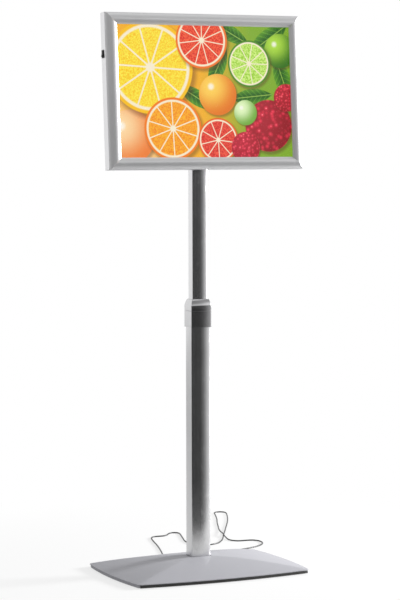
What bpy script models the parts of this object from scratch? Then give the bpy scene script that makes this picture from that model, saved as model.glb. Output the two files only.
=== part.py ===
"""Lit poster board: a snap-frame light box that tilts on a two-section pole over a low pyramid base.

Lengths are in metres. The origin is on the floor under the pole's axis. X runs to the right of someone
who faces the poster, Y runs to the back and Z runs up.

The light box has its own axes: x along the poster, y up the poster, z out of its face, with zero at the
middle of the casing's rear plane. Each long side of the casing is drawn as a section of two distances:
"inward" from the outer face and "forward" from the rear plane.
"""
import math

import bmesh
import bpy
from mathutils import Matrix, Vector

# Clearances and counts
gap = 0.0003
overrun = 0.004
smooth_angle = math.radians(32)
quarter_turn = math.radians(90)
edge_steps = 8
corner_steps = 3
round_steps = 16
half_facet = quarter_turn / 8
arc_steps = 12
knob_lobe_steps = 5

# Poster, frame rails and light box
poster_width = 0.420
poster_height = 0.297
rail_width = 0.025
lip_overlap = 0.010
rail_wall = 0.0014
rail_lip_wall = 0.0012
rail_sagitta = 0.0060
rail_lip_height = 0.0022
bead_radius = 0.0009
bead_sweep = math.radians(205)
bead_steps = 5
inner_start_share = 0.07
casing_height = 0.0215
casing_wall = 0.0016
rear_flange_reach = 0.014
rear_flange_wall = 0.0012
shelf_reach = 0.012
shelf_wall = 0.0014
shelf_height = 0.0150
hook_wall = 0.0012
hook_rise = 0.0018
hook_root = 0.0013
back_panel_wall = 0.0012
reflector_thickness = 0.0003
light_guide_thickness = 0.0030
diffuser_thickness = 0.0020
print_thickness = 0.00025
cover_thickness = 0.0010
led_board_wall = 0.0012
led_board_height = 0.0032
led_board_length = 0.376
led_rise = 0.0010
led_width = 0.0035
led_pitch = 0.0150
spring_length = 0.060
spring_wall = 0.0005

# Switch on the left side of the light box
switch_below_top = 0.086
switch_forward = 0.0078
bezel_height = 0.0170
bezel_width = 0.0106
bezel_wall = 0.0010
switch_body_height = 0.0148
switch_body_width = 0.0088
switch_body_depth = 0.0140
rocker_height = 0.0112
rocker_width = 0.0062
rocker_proud = 0.0022
rocker_dish = 0.0008
rocker_root = 0.0032
rocker_pivot_proud = 0.0010
rocker_swing = math.radians(9)
rocker_clearance = 0.0007

# Socket and plug on the back of the light box
socket_right = 0.055
socket_below_centre = 0.085
socket_flange_radius = 0.0060
socket_flange_wall = 0.0009
socket_radius = 0.0037
socket_bore_radius = 0.0029
socket_depth = 0.0120
plug_tip_radius = 0.0025
plug_tip_length = 0.0085
plug_radius = 0.0046
plug_length = 0.0160
plug_relief_radius = 0.0030
plug_relief_length = 0.0070

# Pole
lower_half_width = 0.0222
lower_half_side = 0.0141
lower_bow = 0.0045
lower_wall = 0.0016
lower_tube_length = 0.5434
upper_half_width = 0.0176
upper_half_side = 0.0106
upper_bow = 0.0035
upper_wall = 0.0015
upper_tube_length = 0.6360
tube_overlap = 0.1860
bush_floor = 0.0030
bush_length = 0.0300
tube_corner = 0.0010
side_bow = 0.0002

# Collar
collar_half_width = 0.0240
collar_half_side = 0.0186
collar_bow = 0.0032
collar_corner = 0.0020
collar_grip = 0.0290
collar_foot_round = 0.0020
cap_height = 0.0250
cap_shoulder = 0.0140
cap_land = 0.0014
cap_rim_round = 0.0006
liner_depth = 0.0560
liner_rim = 0.0054
lock_above_collar_foot = 0.0180
stud_radius = 0.0030
stud_hole_radius = 0.0034
pad_radius = 0.0036
pad_hole_radius = 0.0039
lock_knob_radius = 0.0105
lock_knob_depth = 0.0170
knob_lobe = 0.0012
knob_lobes = 6
knob_neck_radius = 0.0060
knob_neck_length = 0.0030

# Tilt fitting
pivot_below_tube_top = 0.0060
pivot_to_back = 0.0191
centre_above_pivot = 0.0236
rest_tilt = math.radians(4.2)
head_plug_length = 0.0400
head_cap_wall = 0.0020
head_cap_round = 0.0010
tilt_bolt_radius = 0.0030
tilt_hole_radius = 0.0034
ear_wall = 0.0020
ear_radius = 0.0090
ear_root = 0.0210
bracket_half_width = 0.0420
bracket_half_height = 0.0320
bracket_wall = 0.0020
bracket_corner = 0.0060
bracket_screw_x = 0.0310
bracket_screw_y = 0.0220
backing_wall = 0.0020
tilt_knob_radius = 0.0130
tilt_knob_depth = 0.0200
bolt_head_radius = 0.0055
bolt_head_height = 0.0035

# Base
base_half_width = 0.1985
base_half_depth = 0.1345
base_front_bow = 0.0150
base_side_bow = 0.0100
base_corner = 0.0060
cover_wall = 0.0015
rim_height = 0.0094
rim_wall = 0.0015
peak_height = 0.0340
slope_power = 1.6
slope_shares = (0.12, 0.28, 0.48, 0.72)
strip_wall = 0.0015
strip_end_margin = 0.0035
foot_pad_height = 0.0017
foot_pad_inset = 0.0120
ballast_thickness = 0.0050
ballast_clearance = 0.0006
flange_half_x = 0.0480
flange_half_y = 0.0320
flange_corner = 0.0080
flange_thickness = 0.0050
foot_plug_length = 0.0580
lead_bore_half_x = 0.0070
lead_bore_half_y = 0.0050
lead_bore_corner = 0.0030
lead_slot_half = 0.0026
lead_slot_height = 0.0150
foot_bolt_x = 0.0380
foot_bolt_radius = 0.0025
foot_bolt_hole_radius = 0.0028
foot_bolt_head_radius = 0.0048
foot_bolt_head_height = 0.0024
tube_screw_height = 0.0520
tube_screw_radius = 0.0015
tube_screw_hole_radius = 0.0018
tube_screw_head_radius = 0.0029
tube_screw_head_height = 0.0014
bracket_screw_radius = 0.0019
bracket_screw_hole_radius = 0.0022
bracket_screw_head_radius = 0.0038
bracket_screw_head_height = 0.0022
bracket_screw_tail = 0.0010

# Leads
lead_radius = 0.0015
wire_radius = 0.0008
gland_height = 0.0042
gland_neck_radius = 0.0019
gland_hole_radius = 0.0022
gland_flange_radius = 0.0025
gland_flange_wall = 0.0012
gland_boss_radius = 0.0022
gland_nose_radius = 0.0018
gland_nose_length = 0.0110
gland_notch_half = 0.0070
gland_notch_depth = 0.0450
grommet_below_pivot = 0.0850
grommet_radius = 0.0034
grommet_hole_radius = 0.0037
grommet_flange_radius = 0.0052
grommet_flange_wall = 0.0012
slack_sway = 0.0070
slack_waves = 4
slack_steps = 32
route_samples = 24
route_step = 0.0330
bend_length = 0.0400
inner_route_step = 0.0120
loop_route_step = 0.0050
connector_radius = 0.0048
connector_length = 0.0300
connector_relief_radius = 0.0028
connector_relief_length = 0.0120

# Heights that follow from the sizes above
ballast_bottom = foot_pad_height + gap
ballast_top = ballast_bottom + ballast_thickness
flange_bottom = ballast_top + gap
flange_top = flange_bottom + flange_thickness
lower_tube_bottom = flange_top + gap
lower_tube_top = lower_tube_bottom + lower_tube_length
foot_plug_top = flange_top + foot_plug_length
collar_bottom = lower_tube_top - collar_grip
cap_bottom = lower_tube_top + gap + liner_rim + gap
cap_top = cap_bottom + cap_height
lock_height = collar_bottom + lock_above_collar_foot
upper_tube_bottom = lower_tube_top - tube_overlap
upper_tube_top = upper_tube_bottom + upper_tube_length
pivot_height = upper_tube_top - pivot_below_tube_top
grommet_height = pivot_height - grommet_below_pivot
skirt_half_depth = base_half_depth - strip_wall - gap
skirt_bottom = foot_pad_height
strip_top = rim_height - rim_wall - gap

# Light box levels, forward of the casing's rear plane
frame_width = poster_width + 2 * (rail_width - lip_overlap)
frame_height = poster_height + 2 * (rail_width - lip_overlap)
back_panel_back = rear_flange_wall + gap
back_panel_front = back_panel_back + back_panel_wall
backing_back = back_panel_front + gap
shelf_front = shelf_height + shelf_wall
reflector_back = shelf_front + gap
light_guide_back = reflector_back + reflector_thickness + gap
diffuser_back = light_guide_back + light_guide_thickness + gap
print_back = diffuser_back + diffuser_thickness + gap
cover_back = print_back + print_thickness + gap
lip_back = cover_back + cover_thickness + gap
bead_forward = casing_height + gap + bead_radius
lip_front = lip_back + rail_lip_height
led_inward = casing_wall + gap
led_face = led_inward + led_board_wall + led_rise
stack_inward = led_face + 2 * gap
hook_inward = 2 * bead_radius + gap
bracket_back = rear_flange_wall - bracket_wall
side_turns = {"bottom": 0, "right": 1, "top": 2, "left": 3}
foot_bolt_sides = {"left": -foot_bolt_x, "right": foot_bolt_x}


def clear_scene():
    for old in list(bpy.data.objects):
        bpy.data.objects.remove(old, do_unlink=True)


def finish(name, colour, roughness, metallic=0.0, alpha=1.0):
    material = bpy.data.materials.new(name)
    material.use_nodes = True
    shader = material.node_tree.nodes["Principled BSDF"]
    shader.inputs["Base Color"].default_value = (*colour, 1.0)
    shader.inputs["Roughness"].default_value = roughness
    shader.inputs["Metallic"].default_value = metallic
    shader.inputs["Alpha"].default_value = alpha
    return material


def make_finishes():
    """One maker per kind of surface; each part takes its own copy."""
    return {
        "silver": ((0.62, 0.61, 0.63), 0.35, 0.8),
        "powder": ((0.52, 0.51, 0.56), 0.45, 0.5),
        "steel": ((0.45, 0.45, 0.46), 0.35, 0.9),
        "collar": ((0.30, 0.29, 0.29), 0.4, 0.1),
        "black": ((0.02, 0.02, 0.02), 0.5, 0.0),
        "rubber": ((0.03, 0.03, 0.03), 0.8, 0.0),
        "white": ((0.85, 0.85, 0.85), 0.5, 0.0),
        "clear": ((0.9, 0.95, 0.95), 0.1, 0.0, 0.35),
        "print": ((0.9, 0.65, 0.2), 0.4, 0.0),
        "brass": ((0.75, 0.6, 0.3), 0.3, 1.0),
    }


def piece(name, mesh, kind, parent=None, place=None):
    """Turn a bmesh into a named object with a material of its own."""
    data = bpy.data.meshes.new(name)
    mesh.to_mesh(data)
    mesh.free()
    data.shade_smooth()
    data.set_sharp_from_angle(angle=smooth_angle)
    item = bpy.data.objects.new(name, data)
    bpy.context.scene.collection.objects.link(item)
    item.parent = parent
    item.matrix_basis = place or Matrix()
    data.materials.append(finish(name + "_finish", *finishes[kind]))
    return item


def cutter(name, mesh, parent=None, place=None):
    """A hidden solid that only cuts or joins."""
    item = piece(name, mesh, "black", parent, place)
    item.hide_render = True
    item.display_type = "WIRE"
    return item


def combine(target, other, operation="DIFFERENCE"):
    step = target.modifiers.new(other.name, "BOOLEAN")
    step.operation = operation
    step.object = other


def empty(name, place, parent=None):
    item = bpy.data.objects.new(name, None)
    bpy.context.scene.collection.objects.link(item)
    item.parent = parent
    item.matrix_basis = place
    return item


def move(x=0, y=0, z=0):
    return Matrix.Translation((x, y, z))


def turn(angle, axis):
    return Matrix.Rotation(angle, 4, axis)


def skin(rings, closed=False):
    """Faces between rings of equal count; the ends are capped unless the rings close on themselves."""
    mesh = bmesh.new()
    loops = [[mesh.verts.new(point) for point in ring] for ring in rings]
    pairs = list(zip(loops, loops[1:]))
    if closed:
        pairs.append((loops[-1], loops[0]))
    for low, high in pairs:
        for here in range(len(low)):
            after = (here + 1) % len(low)
            mesh.faces.new((low[here], low[after], high[after], high[here]))
    if not closed:
        mesh.faces.new(list(reversed(loops[0])))
        mesh.faces.new(loops[-1])
    bmesh.ops.recalc_face_normals(mesh, faces=mesh.faces)
    return mesh


def at_height(outline, z):
    return [(x, y, z) for x, y in outline]


def prism(outline, bottom, top):
    return skin([at_height(outline, bottom), at_height(outline, top)])


def block(low, high):
    outline = [(low[0], low[1]), (high[0], low[1]), (high[0], high[1]), (low[0], high[1])]
    return prism(outline, low[2], high[2])


def circle(radius, steps=round_steps):
    angles = [math.pi * (2 * step + 1) / steps for step in range(steps)]
    return [(radius * math.cos(angle), radius * math.sin(angle)) for angle in angles]


def turned(profile):
    """A round solid from pairs of radius and height."""
    return skin([at_height(circle(radius), height) for radius, height in profile])


def merged(shapes):
    """Several separate solids in one mesh, from pairs of bmesh and place."""
    whole = bmesh.new()
    for mesh, place in shapes:
        bmesh.ops.transform(mesh, matrix=place, verts=mesh.verts)
        data = bpy.data.meshes.new("part_of_group")
        mesh.to_mesh(data)
        mesh.free()
        whole.from_mesh(data)
        bpy.data.meshes.remove(data)
    return whole


def bowed_outline(half_x, half_y, bow_y, bow_x, radius):
    """A four-sided outline whose sides bulge outward and whose corners are rounded."""
    corners = [Vector((-half_x, -half_y)), Vector((half_x, -half_y)), Vector((half_x, half_y)),
               Vector((-half_x, half_y))]
    outwards = [Vector((0, -1)), Vector((1, 0)), Vector((0, 1)), Vector((-1, 0))]
    bows = [bow_y, bow_x, bow_y, bow_x]

    def edge_point(side, share):
        start = corners[side]
        end = corners[(side + 1) % 4]
        return start.lerp(end, share) + outwards[side] * bows[side] * 4 * share * (1 - share)

    points = []
    for side in range(4):
        after = (side + 1) % 4
        length = (corners[after] - corners[side]).length
        next_length = (corners[(side + 2) % 4] - corners[after]).length
        first = radius / length
        for step in range(edge_steps + 1):
            points.append(edge_point(side, first + (1 - 2 * first) * step / edge_steps))
        leave = points[-1]
        meet = edge_point(after, radius / next_length)
        for step in range(1, corner_steps):
            share = step / corner_steps
            points.append(leave.lerp(corners[after], share).lerp(corners[after].lerp(meet, share), share))
    return [(point.x, point.y) for point in points]


def heading(before, here, after):
    """Direction of a smooth curve at one of its points; the nearer neighbour counts more."""
    back = here - before
    ahead = after - here
    return (back * ahead.length / back.length + ahead * back.length / ahead.length).normalized()


def smooth_route(points, step, bend_length=0.0):
    """Points along a smooth curve through the given ones, closer in the bends; the end legs stay straight."""
    anchors = [Vector(point) for point in points]
    fine = []
    for before, start, end, after in zip(anchors, anchors[1:], anchors[2:], anchors[3:]):
        leg = end - start
        leave = heading(before, start, end) * leg.length
        arrive = heading(start, end, after) * leg.length
        for sample in range(route_samples):
            t = sample / route_samples
            fine.append(start + leg * t * t * (3 - 2 * t) + leave * t * (1 - t) ** 2 - arrive * t * t * (1 - t))
    fine.append(anchors[-2])
    lengths = [0]
    for number in range(1, len(fine)):
        leg = fine[number] - fine[number - 1]
        last_leg = fine[number - 1] - fine[number - 2] if number > 1 else leg
        lengths.append(lengths[-1] + leg.length + bend_length * leg.angle(last_leg))
    count = max(2, round(lengths[-1] / step))
    route = []
    index = 0
    for number in range(count + 1):
        wanted = lengths[-1] * number / count
        while index < len(lengths) - 2 and lengths[index + 1] < wanted:
            index += 1
        share = (wanted - lengths[index]) / (lengths[index + 1] - lengths[index])
        route.append(fine[index].lerp(fine[index + 1], share))
    return [anchors[0]] + route + [anchors[-1]]


def lead(name, route, radius, parent=None, place=None):
    """A round lead along a list of points."""
    curve = bpy.data.curves.new(name, "CURVE")
    curve.dimensions = "3D"
    curve.bevel_depth = radius
    curve.bevel_resolution = 2
    curve.use_fill_caps = True
    spline = curve.splines.new("POLY")
    spline.points.add(len(route) - 1)
    for point, spot in zip(spline.points, route):
        point.co = (*spot, 1)
    item = bpy.data.objects.new(name, curve)
    bpy.context.scene.collection.objects.link(item)
    item.parent = parent
    item.matrix_basis = place or Matrix()
    curve.materials.append(finish(name + "_finish", *finishes["black"]))
    return item


def screw(radius, length, head_radius, head_height):
    """A round-headed screw: shank from zero down, head from zero up."""
    dome = head_height / 2
    return turned([(radius, -length), (radius, 0), (head_radius, 0), (head_radius, dome),
                   (head_radius - dome, head_height)])


# Base

def cover_point_height(share):
    """Height of the cover's top, from the rim at share 0 to the pole at share 1."""
    return rim_height + (peak_height - rim_height) * (1 - (1 - share) ** slope_power)


def blend_outline(outer, inner, share):
    return [(a + (c - a) * share, b + (d - b) * share) for (a, b), (c, d) in zip(outer, inner)]


def base_outline(inset=0.0):
    return bowed_outline(base_half_width - inset, base_half_depth - inset, base_front_bow, base_side_bow,
                         base_corner)


def skirt_outline(inset=0.0):
    return bowed_outline(base_half_width - inset, skirt_half_depth - inset, base_front_bow, base_side_bow,
                         base_corner)


def pole_hole_outline():
    return bowed_outline(lower_half_width + gap, lower_half_side + gap, lower_bow, side_bow, tube_corner)


def make_base_cover():
    rim = base_outline()
    hole = pole_hole_outline()
    slope = (0,) + slope_shares + (1,)
    lip_bottom = rim_height - rim_wall
    rings = [at_height(skirt_outline(), skirt_bottom), at_height(skirt_outline(), lip_bottom),
             at_height(rim, lip_bottom)]
    for share in slope:
        rings.append(at_height(blend_outline(rim, hole, share), cover_point_height(share)))
    under = base_outline(cover_wall)
    for share in reversed(slope):
        rings.append(at_height(blend_outline(under, hole, share), cover_point_height(share) - cover_wall))
    inner_skirt = skirt_outline(cover_wall)
    rings.append(at_height(inner_skirt, lip_bottom - cover_wall))
    rings.append(at_height(inner_skirt, skirt_bottom))
    cover = piece("base_cover", skin(rings, closed=True), "powder")
    hole_length = base_front_bow + overrun
    gland_hole = cutter("gland_hole", turned([(gland_hole_radius, -hole_length), (gland_hole_radius, overrun)]),
                        place=move(0, skirt_half_depth + base_front_bow, gland_height) @ turn(-quarter_turn, "X"))
    combine(cover, gland_hole)


def make_ballast():
    inset = cover_wall + ballast_clearance
    plate = piece("ballast_plate", prism(skirt_outline(inset), ballast_bottom, ballast_top), "steel")
    rear = skirt_half_depth + base_front_bow
    notch = cutter("gland_notch", block((-gland_notch_half, rear - gland_notch_depth, ballast_bottom - overrun),
                                        (gland_notch_half, rear + overrun, ballast_top + overrun)))
    combine(plate, notch)
    holes = [(turned([(foot_bolt_head_radius + gap, ballast_bottom - overrun),
                      (foot_bolt_head_radius + gap, ballast_bottom + foot_bolt_head_height + gap),
                      (foot_bolt_hole_radius, ballast_bottom + foot_bolt_head_height + gap),
                      (foot_bolt_hole_radius, ballast_top + overrun)]), move(x))
             for x in foot_bolt_sides.values()]
    combine(plate, cutter("ballast_holes", merged(holes)))


def make_edge_strips():
    """Black strips that lie along the front and rear skirts under the rim."""
    half = base_half_width - strip_end_margin
    shares = [step / (2 * edge_steps) for step in range(2 * edge_steps + 1)]
    for name, side in (("edge_strip_front", -1), ("edge_strip_rear", 1)):
        outer = []
        inner = []
        for share in shares:
            x = -half + 2 * half * share
            whole_share = (x + base_half_width) / (2 * base_half_width)
            bulge = base_front_bow * 4 * whole_share * (1 - whole_share)
            outer.append((x, side * (base_half_depth + bulge)))
            inner.append((x, side * (skirt_half_depth + gap + bulge)))
        strip = piece(name, prism(outer + inner[::-1], skirt_bottom, strip_top), "black")
        if side > 0:
            rear = base_half_depth + base_front_bow
            opening = cutter("strip_opening", block(
                (-gland_boss_radius - gap, rear - base_front_bow, skirt_bottom - overrun),
                (gland_boss_radius + gap, rear + overrun, gland_height + gland_boss_radius + gap)))
            combine(strip, opening)


def make_base_pad():
    outline = bowed_outline(base_half_width - foot_pad_inset, base_half_depth - foot_pad_inset, base_front_bow,
                            base_side_bow, base_corner)
    piece("base_pad", prism(outline, 0, foot_pad_height), "rubber")


def make_pole_foot():
    flange = bowed_outline(flange_half_x, flange_half_y, 0, 0, flange_corner)
    shrink = lower_wall + gap
    plug = bowed_outline(lower_half_width - shrink, lower_half_side - shrink, lower_bow, 0, tube_corner)
    bore = bowed_outline(lead_bore_half_x, lead_bore_half_y, 0, 0, lead_bore_corner)
    rings = [at_height(flange, flange_bottom), at_height(flange, flange_top), at_height(plug, flange_top),
             at_height(plug, foot_plug_top), at_height(bore, foot_plug_top), at_height(bore, flange_bottom)]
    foot = piece("pole_foot", skin(rings, closed=True), "steel")
    slot_top = flange_top + lead_slot_height
    slot_end = lower_half_side + lower_bow + overrun
    combine(foot, cutter("foot_lead_slot", block((-lead_slot_half, 0, flange_top),
                                                 (lead_slot_half, slot_end, slot_top))))
    holes = [(turned([(foot_bolt_hole_radius, flange_bottom - overrun),
                      (foot_bolt_hole_radius, flange_top + overrun)]), move(x))
             for x in foot_bolt_sides.values()]
    combine(foot, cutter("foot_bolt_holes", merged(holes)))
    combine(foot, tube_screw_hole("foot_screw_hole", tube_screw_radius + gap))
    for side, x in foot_bolt_sides.items():
        bolt = turned([(foot_bolt_head_radius, ballast_bottom),
                       (foot_bolt_head_radius, ballast_bottom + foot_bolt_head_height),
                       (foot_bolt_radius, ballast_bottom + foot_bolt_head_height),
                       (foot_bolt_radius, flange_top)])
        piece("foot_bolt_" + side, bolt, "steel", place=move(x))


def make_gland():
    """Strain relief through the rear skirt."""
    outside = skirt_half_depth + base_front_bow
    inside = outside - cover_wall
    profile = [(gland_flange_radius, inside - gap - gland_flange_wall), (gland_flange_radius, inside - gap),
               (gland_neck_radius, inside - gap), (gland_neck_radius, outside + gap),
               (gland_boss_radius, outside + gap), (gland_boss_radius, outside + gap + strip_wall),
               (gland_nose_radius, outside + gap + gland_nose_length)]
    piece("cord_gland", turned(profile), "black",
          place=move(0, 0, gland_height) @ turn(-quarter_turn, "X"))
    return inside - gap - gland_flange_wall, outside + gap + gland_nose_length


# Pole

def tube_rings(half_x, half_side, bow, wall, bottom, top):
    outer = bowed_outline(half_x, half_side, bow, side_bow, tube_corner)
    inner = bowed_outline(half_x - wall, half_side - wall, bow, 0, tube_corner)
    return [at_height(outer, bottom), at_height(outer, top), at_height(inner, top), at_height(inner, bottom)]


def tube_screw_hole(name, radius):
    reach = lower_half_side + lower_bow + overrun
    return cutter(name, turned([(radius, lower_half_side - lead_bore_half_y), (radius, reach)]),
                  place=move(0, 0, tube_screw_height) @ turn(-quarter_turn, "X"))


def make_lower_tube():
    tube = piece("lower_tube", skin(tube_rings(lower_half_width, lower_half_side, lower_bow, lower_wall,
                                               lower_tube_bottom, lower_tube_top), closed=True), "silver")
    combine(tube, cutter("tube_lead_slot", block(
        (-lead_slot_half, 0, lower_tube_bottom - overrun),
        (lead_slot_half, lower_half_side + lower_bow + overrun, flange_top + lead_slot_height))))
    combine(tube, tube_screw_hole("tube_screw_hole", tube_screw_hole_radius))
    combine(tube, lock_hole("tube_lock_hole", stud_hole_radius))
    face = lower_half_side + lower_bow
    length = face - lower_half_side + lead_bore_half_y - gap
    piece("tube_screw", screw(tube_screw_radius, length, tube_screw_head_radius, tube_screw_head_height), "steel",
          place=move(0, face + gap, tube_screw_height) @ turn(-quarter_turn, "X"))


def lock_hole(name, radius):
    reach = collar_half_side + collar_bow + overrun
    return cutter(name, turned([(radius, 0), (radius, reach)]),
                  place=move(0, 0, lock_height) @ turn(-quarter_turn, "X"))


def make_collar():
    tube_hole = bowed_outline(lower_half_width + gap, lower_half_side + gap, lower_bow, side_bow, tube_corner)
    outer = bowed_outline(collar_half_width, collar_half_side, collar_bow, side_bow, collar_corner)
    round_inset = collar_foot_round / 2
    foot = bowed_outline(collar_half_width - round_inset, collar_half_side - round_inset, collar_bow, side_bow,
                         collar_corner)
    body_top = cap_bottom - gap
    rings = [at_height(foot, collar_bottom), at_height(outer, collar_bottom + collar_foot_round),
             at_height(outer, body_top), at_height(tube_hole, body_top), at_height(tube_hole, collar_bottom)]
    body = piece("collar_body", skin(rings, closed=True), "collar")
    combine(body, lock_hole("collar_lock_hole", stud_hole_radius))
    pole_hole = bowed_outline(upper_half_width + gap, upper_half_side + gap, upper_bow, side_bow, tube_corner)
    land = upper_half_width + gap + cap_land
    brow = bowed_outline(land, upper_half_side + gap + cap_land, upper_bow, side_bow, tube_corner + cap_land)
    rings = [at_height(outer, cap_bottom)]
    for step in range(arc_steps // 2 + 1):
        angle = quarter_turn * step / (arc_steps // 2)
        height = cap_top - cap_shoulder + cap_shoulder * math.sin(angle) - cap_rim_round
        rings.append(at_height(blend_outline(outer, brow, 1 - math.cos(angle)), height))
    rings.append(at_height(bowed_outline(land - cap_rim_round, upper_half_side + gap + cap_land - cap_rim_round,
                                         upper_bow, side_bow, tube_corner + cap_land), cap_top))
    rings += [at_height(pole_hole, cap_top), at_height(pole_hole, cap_bottom)]
    piece("collar_cap", skin(rings, closed=True), "collar")


def make_liner():
    """Guide between the two tubes, with a rim that sits on the lower tube's end."""
    hole = bowed_outline(upper_half_width + gap, upper_half_side + gap, upper_bow, side_bow, tube_corner)
    shrink = lower_wall + gap
    plug = bowed_outline(lower_half_width - shrink, lower_half_side - shrink, lower_bow, 0, tube_corner)
    rim = bowed_outline(lower_half_width, lower_half_side, lower_bow, side_bow, tube_corner)
    low = lower_tube_top - liner_depth
    seat = lower_tube_top + gap
    rings = [at_height(plug, low), at_height(plug, seat), at_height(rim, seat), at_height(rim, seat + liner_rim),
             at_height(hole, seat + liner_rim), at_height(hole, low)]
    liner = piece("collar_liner", skin(rings, closed=True), "black")
    combine(liner, lock_hole("liner_pad_hole", pad_hole_radius))


def make_lock():
    """Pad, stud and knob behind the collar."""
    pad_start = upper_half_side + upper_bow + gap
    pad_end = lower_half_side + lower_bow - lower_wall - gap
    lie_back = turn(-quarter_turn, "X")
    piece("clamp_pad", turned([(pad_radius, pad_start), (pad_radius, pad_end)]), "brass",
          place=move(0, 0, lock_height) @ lie_back)
    knob_start = collar_half_side + collar_bow + gap
    knob_end = knob_start + knob_neck_length + lock_knob_depth
    axis = empty("lock_axis", move(0, 0, lock_height) @ lie_back)
    stud_end = knob_start + lock_knob_depth / 2
    piece("lock_stud", turned([(stud_radius, pad_end + gap), (stud_radius, stud_end)]), "steel", axis)
    piece("lock_knob", knob(knob_start, knob_end, lock_knob_radius, stud_radius + gap,
                            knob_start + lock_knob_depth / 2 + gap), "black", axis)


def lobed(radius):
    steps = knob_lobes * knob_lobe_steps
    points = []
    for step in range(steps):
        angle = 2 * math.pi * step / steps
        reach = radius - knob_lobe / 2 + knob_lobe / 2 * math.cos(knob_lobes * angle)
        points.append((reach * math.cos(angle), reach * math.sin(angle)))
    return points


def knob(start, end, radius, bore_radius, bore_end):
    """A lobed knob with a round neck and a blind bore from its start."""
    steps = knob_lobes * knob_lobe_steps
    neck_end = start + knob_neck_length
    edge = (end - neck_end) / 8
    rings = [at_height(circle(bore_radius, steps), bore_end), at_height(circle(bore_radius, steps), start),
             at_height(circle(knob_neck_radius, steps), start), at_height(circle(knob_neck_radius, steps), neck_end),
             at_height(lobed(radius - edge), neck_end), at_height(lobed(radius), neck_end + edge),
             at_height(lobed(radius), end - edge), at_height(lobed(radius - edge), end)]
    return skin(rings)


def make_upper_tube():
    tube = piece("upper_tube", skin(tube_rings(upper_half_width, upper_half_side, upper_bow, upper_wall,
                                               upper_tube_bottom, upper_tube_top), closed=True), "silver")
    reach = upper_half_width + overrun
    combine(tube, cutter("tube_pivot_hole", pivot_bore(reach), place=pivot_place() @ turn(half_facet, "Z")))
    combine(tube, cutter("tube_grommet_hole", turned([(grommet_hole_radius, 0), (grommet_hole_radius, reach)]),
                         place=move(0, 0, grommet_height) @ turn(quarter_turn, "Y")))
    make_guide_bush()
    make_tilt_head()
    make_grommet()


def pivot_bore(reach):
    return turned([(tilt_hole_radius, -reach), (tilt_hole_radius, reach)])


def pivot_place():
    return move(0, 0, pivot_height) @ turn(quarter_turn, "Y")


def make_guide_bush():
    """Bush on the upper tube's lower end that slides in the lower tube."""
    shrink = lower_wall + gap
    outer = bowed_outline(lower_half_width - shrink, lower_half_side - shrink, lower_bow, 0, tube_corner)
    seat = bowed_outline(upper_half_width + gap, upper_half_side + gap, upper_bow, side_bow, tube_corner)
    inset = upper_wall + gap
    inner = bowed_outline(upper_half_width - inset, upper_half_side - inset, upper_bow, 0, tube_corner)
    floor = upper_tube_bottom - bush_floor
    rings = [at_height(outer, floor), at_height(outer, floor + bush_length), at_height(seat, floor + bush_length),
             at_height(seat, upper_tube_bottom - gap), at_height(inner, upper_tube_bottom - gap),
             at_height(inner, floor)]
    piece("guide_bush", skin(rings, closed=True), "black")


def make_tilt_head():
    shrink = upper_wall + gap
    plug = bowed_outline(upper_half_width - shrink, upper_half_side - shrink, upper_bow, 0, tube_corner)
    cap = bowed_outline(upper_half_width, upper_half_side, upper_bow, side_bow, tube_corner)
    crown = bowed_outline(upper_half_width - head_cap_round, upper_half_side - head_cap_round, upper_bow, side_bow,
                          tube_corner)
    seat = upper_tube_top + gap
    rings = [at_height(plug, upper_tube_top - head_plug_length), at_height(plug, seat), at_height(cap, seat),
             at_height(cap, seat + head_cap_wall - head_cap_round), at_height(crown, seat + head_cap_wall)]
    head = piece("tilt_head", skin(rings), "black")
    combine(head, cutter("head_pivot_hole", pivot_bore(upper_half_width + overrun), place=pivot_place()))


def make_grommet():
    face = upper_half_width + side_bow
    start = upper_half_width - upper_wall - gap
    profile = [(grommet_radius, start), (grommet_radius, face + gap), (grommet_flange_radius, face + gap),
               (grommet_flange_radius, face + gap + grommet_flange_wall)]
    piece("lead_grommet", turned(profile), "black",
          place=move(0, 0, grommet_height) @ turn(quarter_turn, "Y"))


# Tilt fitting

def ear_inner_face():
    return upper_half_width + side_bow + gap


def ear_outline():
    """One ear of the bracket, drawn as height above the pivot and distance forward of it."""
    plate_back = pivot_to_back + bracket_back
    points = [(-ear_root, plate_back + bracket_wall / 2), (-ear_root, plate_back - bracket_wall)]
    for step in range(arc_steps + 1):
        angle = math.pi + math.pi * step / arc_steps
        points.append((ear_radius * math.cos(angle), ear_radius * math.sin(angle)))
    points += [(ear_root, plate_back - bracket_wall), (ear_root, plate_back + bracket_wall / 2)]
    return points


def make_bracket(display):
    """Plate on the light box's back with two ears that straddle the pole."""
    plate = bowed_outline(bracket_half_width, bracket_half_height, 0, 0, bracket_corner)
    back = pivot_to_back + bracket_back
    bracket = piece("tilt_bracket", prism(plate, back, back + bracket_wall), "steel", display)
    combine(bracket, bracket_holes("bracket_holes", display))
    stand_up = Matrix(((0, 0, 1, 0), (1, 0, 0, 0), (0, 1, 0, 0), (0, 0, 0, 1)))
    inner = ear_inner_face()
    for name, low in (("ear_left", -inner - ear_wall), ("ear_right", inner)):
        ear = cutter(name, prism(ear_outline(), low, low + ear_wall), display, stand_up)
        combine(bracket, ear, "UNION")
    reach = inner + ear_wall + overrun
    combine(bracket, cutter("ear_holes", pivot_bore(reach), display, turn(quarter_turn, "Y")))


def bracket_screw_places():
    return [(x, y) for x in (-bracket_screw_x, bracket_screw_x) for y in (-bracket_screw_y, bracket_screw_y)]


def bracket_holes(name, display):
    low = pivot_to_back + bracket_back - overrun
    high = pivot_to_back + backing_back + backing_wall + overrun
    holes = [(turned([(bracket_screw_hole_radius, low), (bracket_screw_hole_radius, high)]),
              move(x, y)) for x, y in bracket_screw_places()]
    return cutter(name, merged(holes), display)


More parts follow.
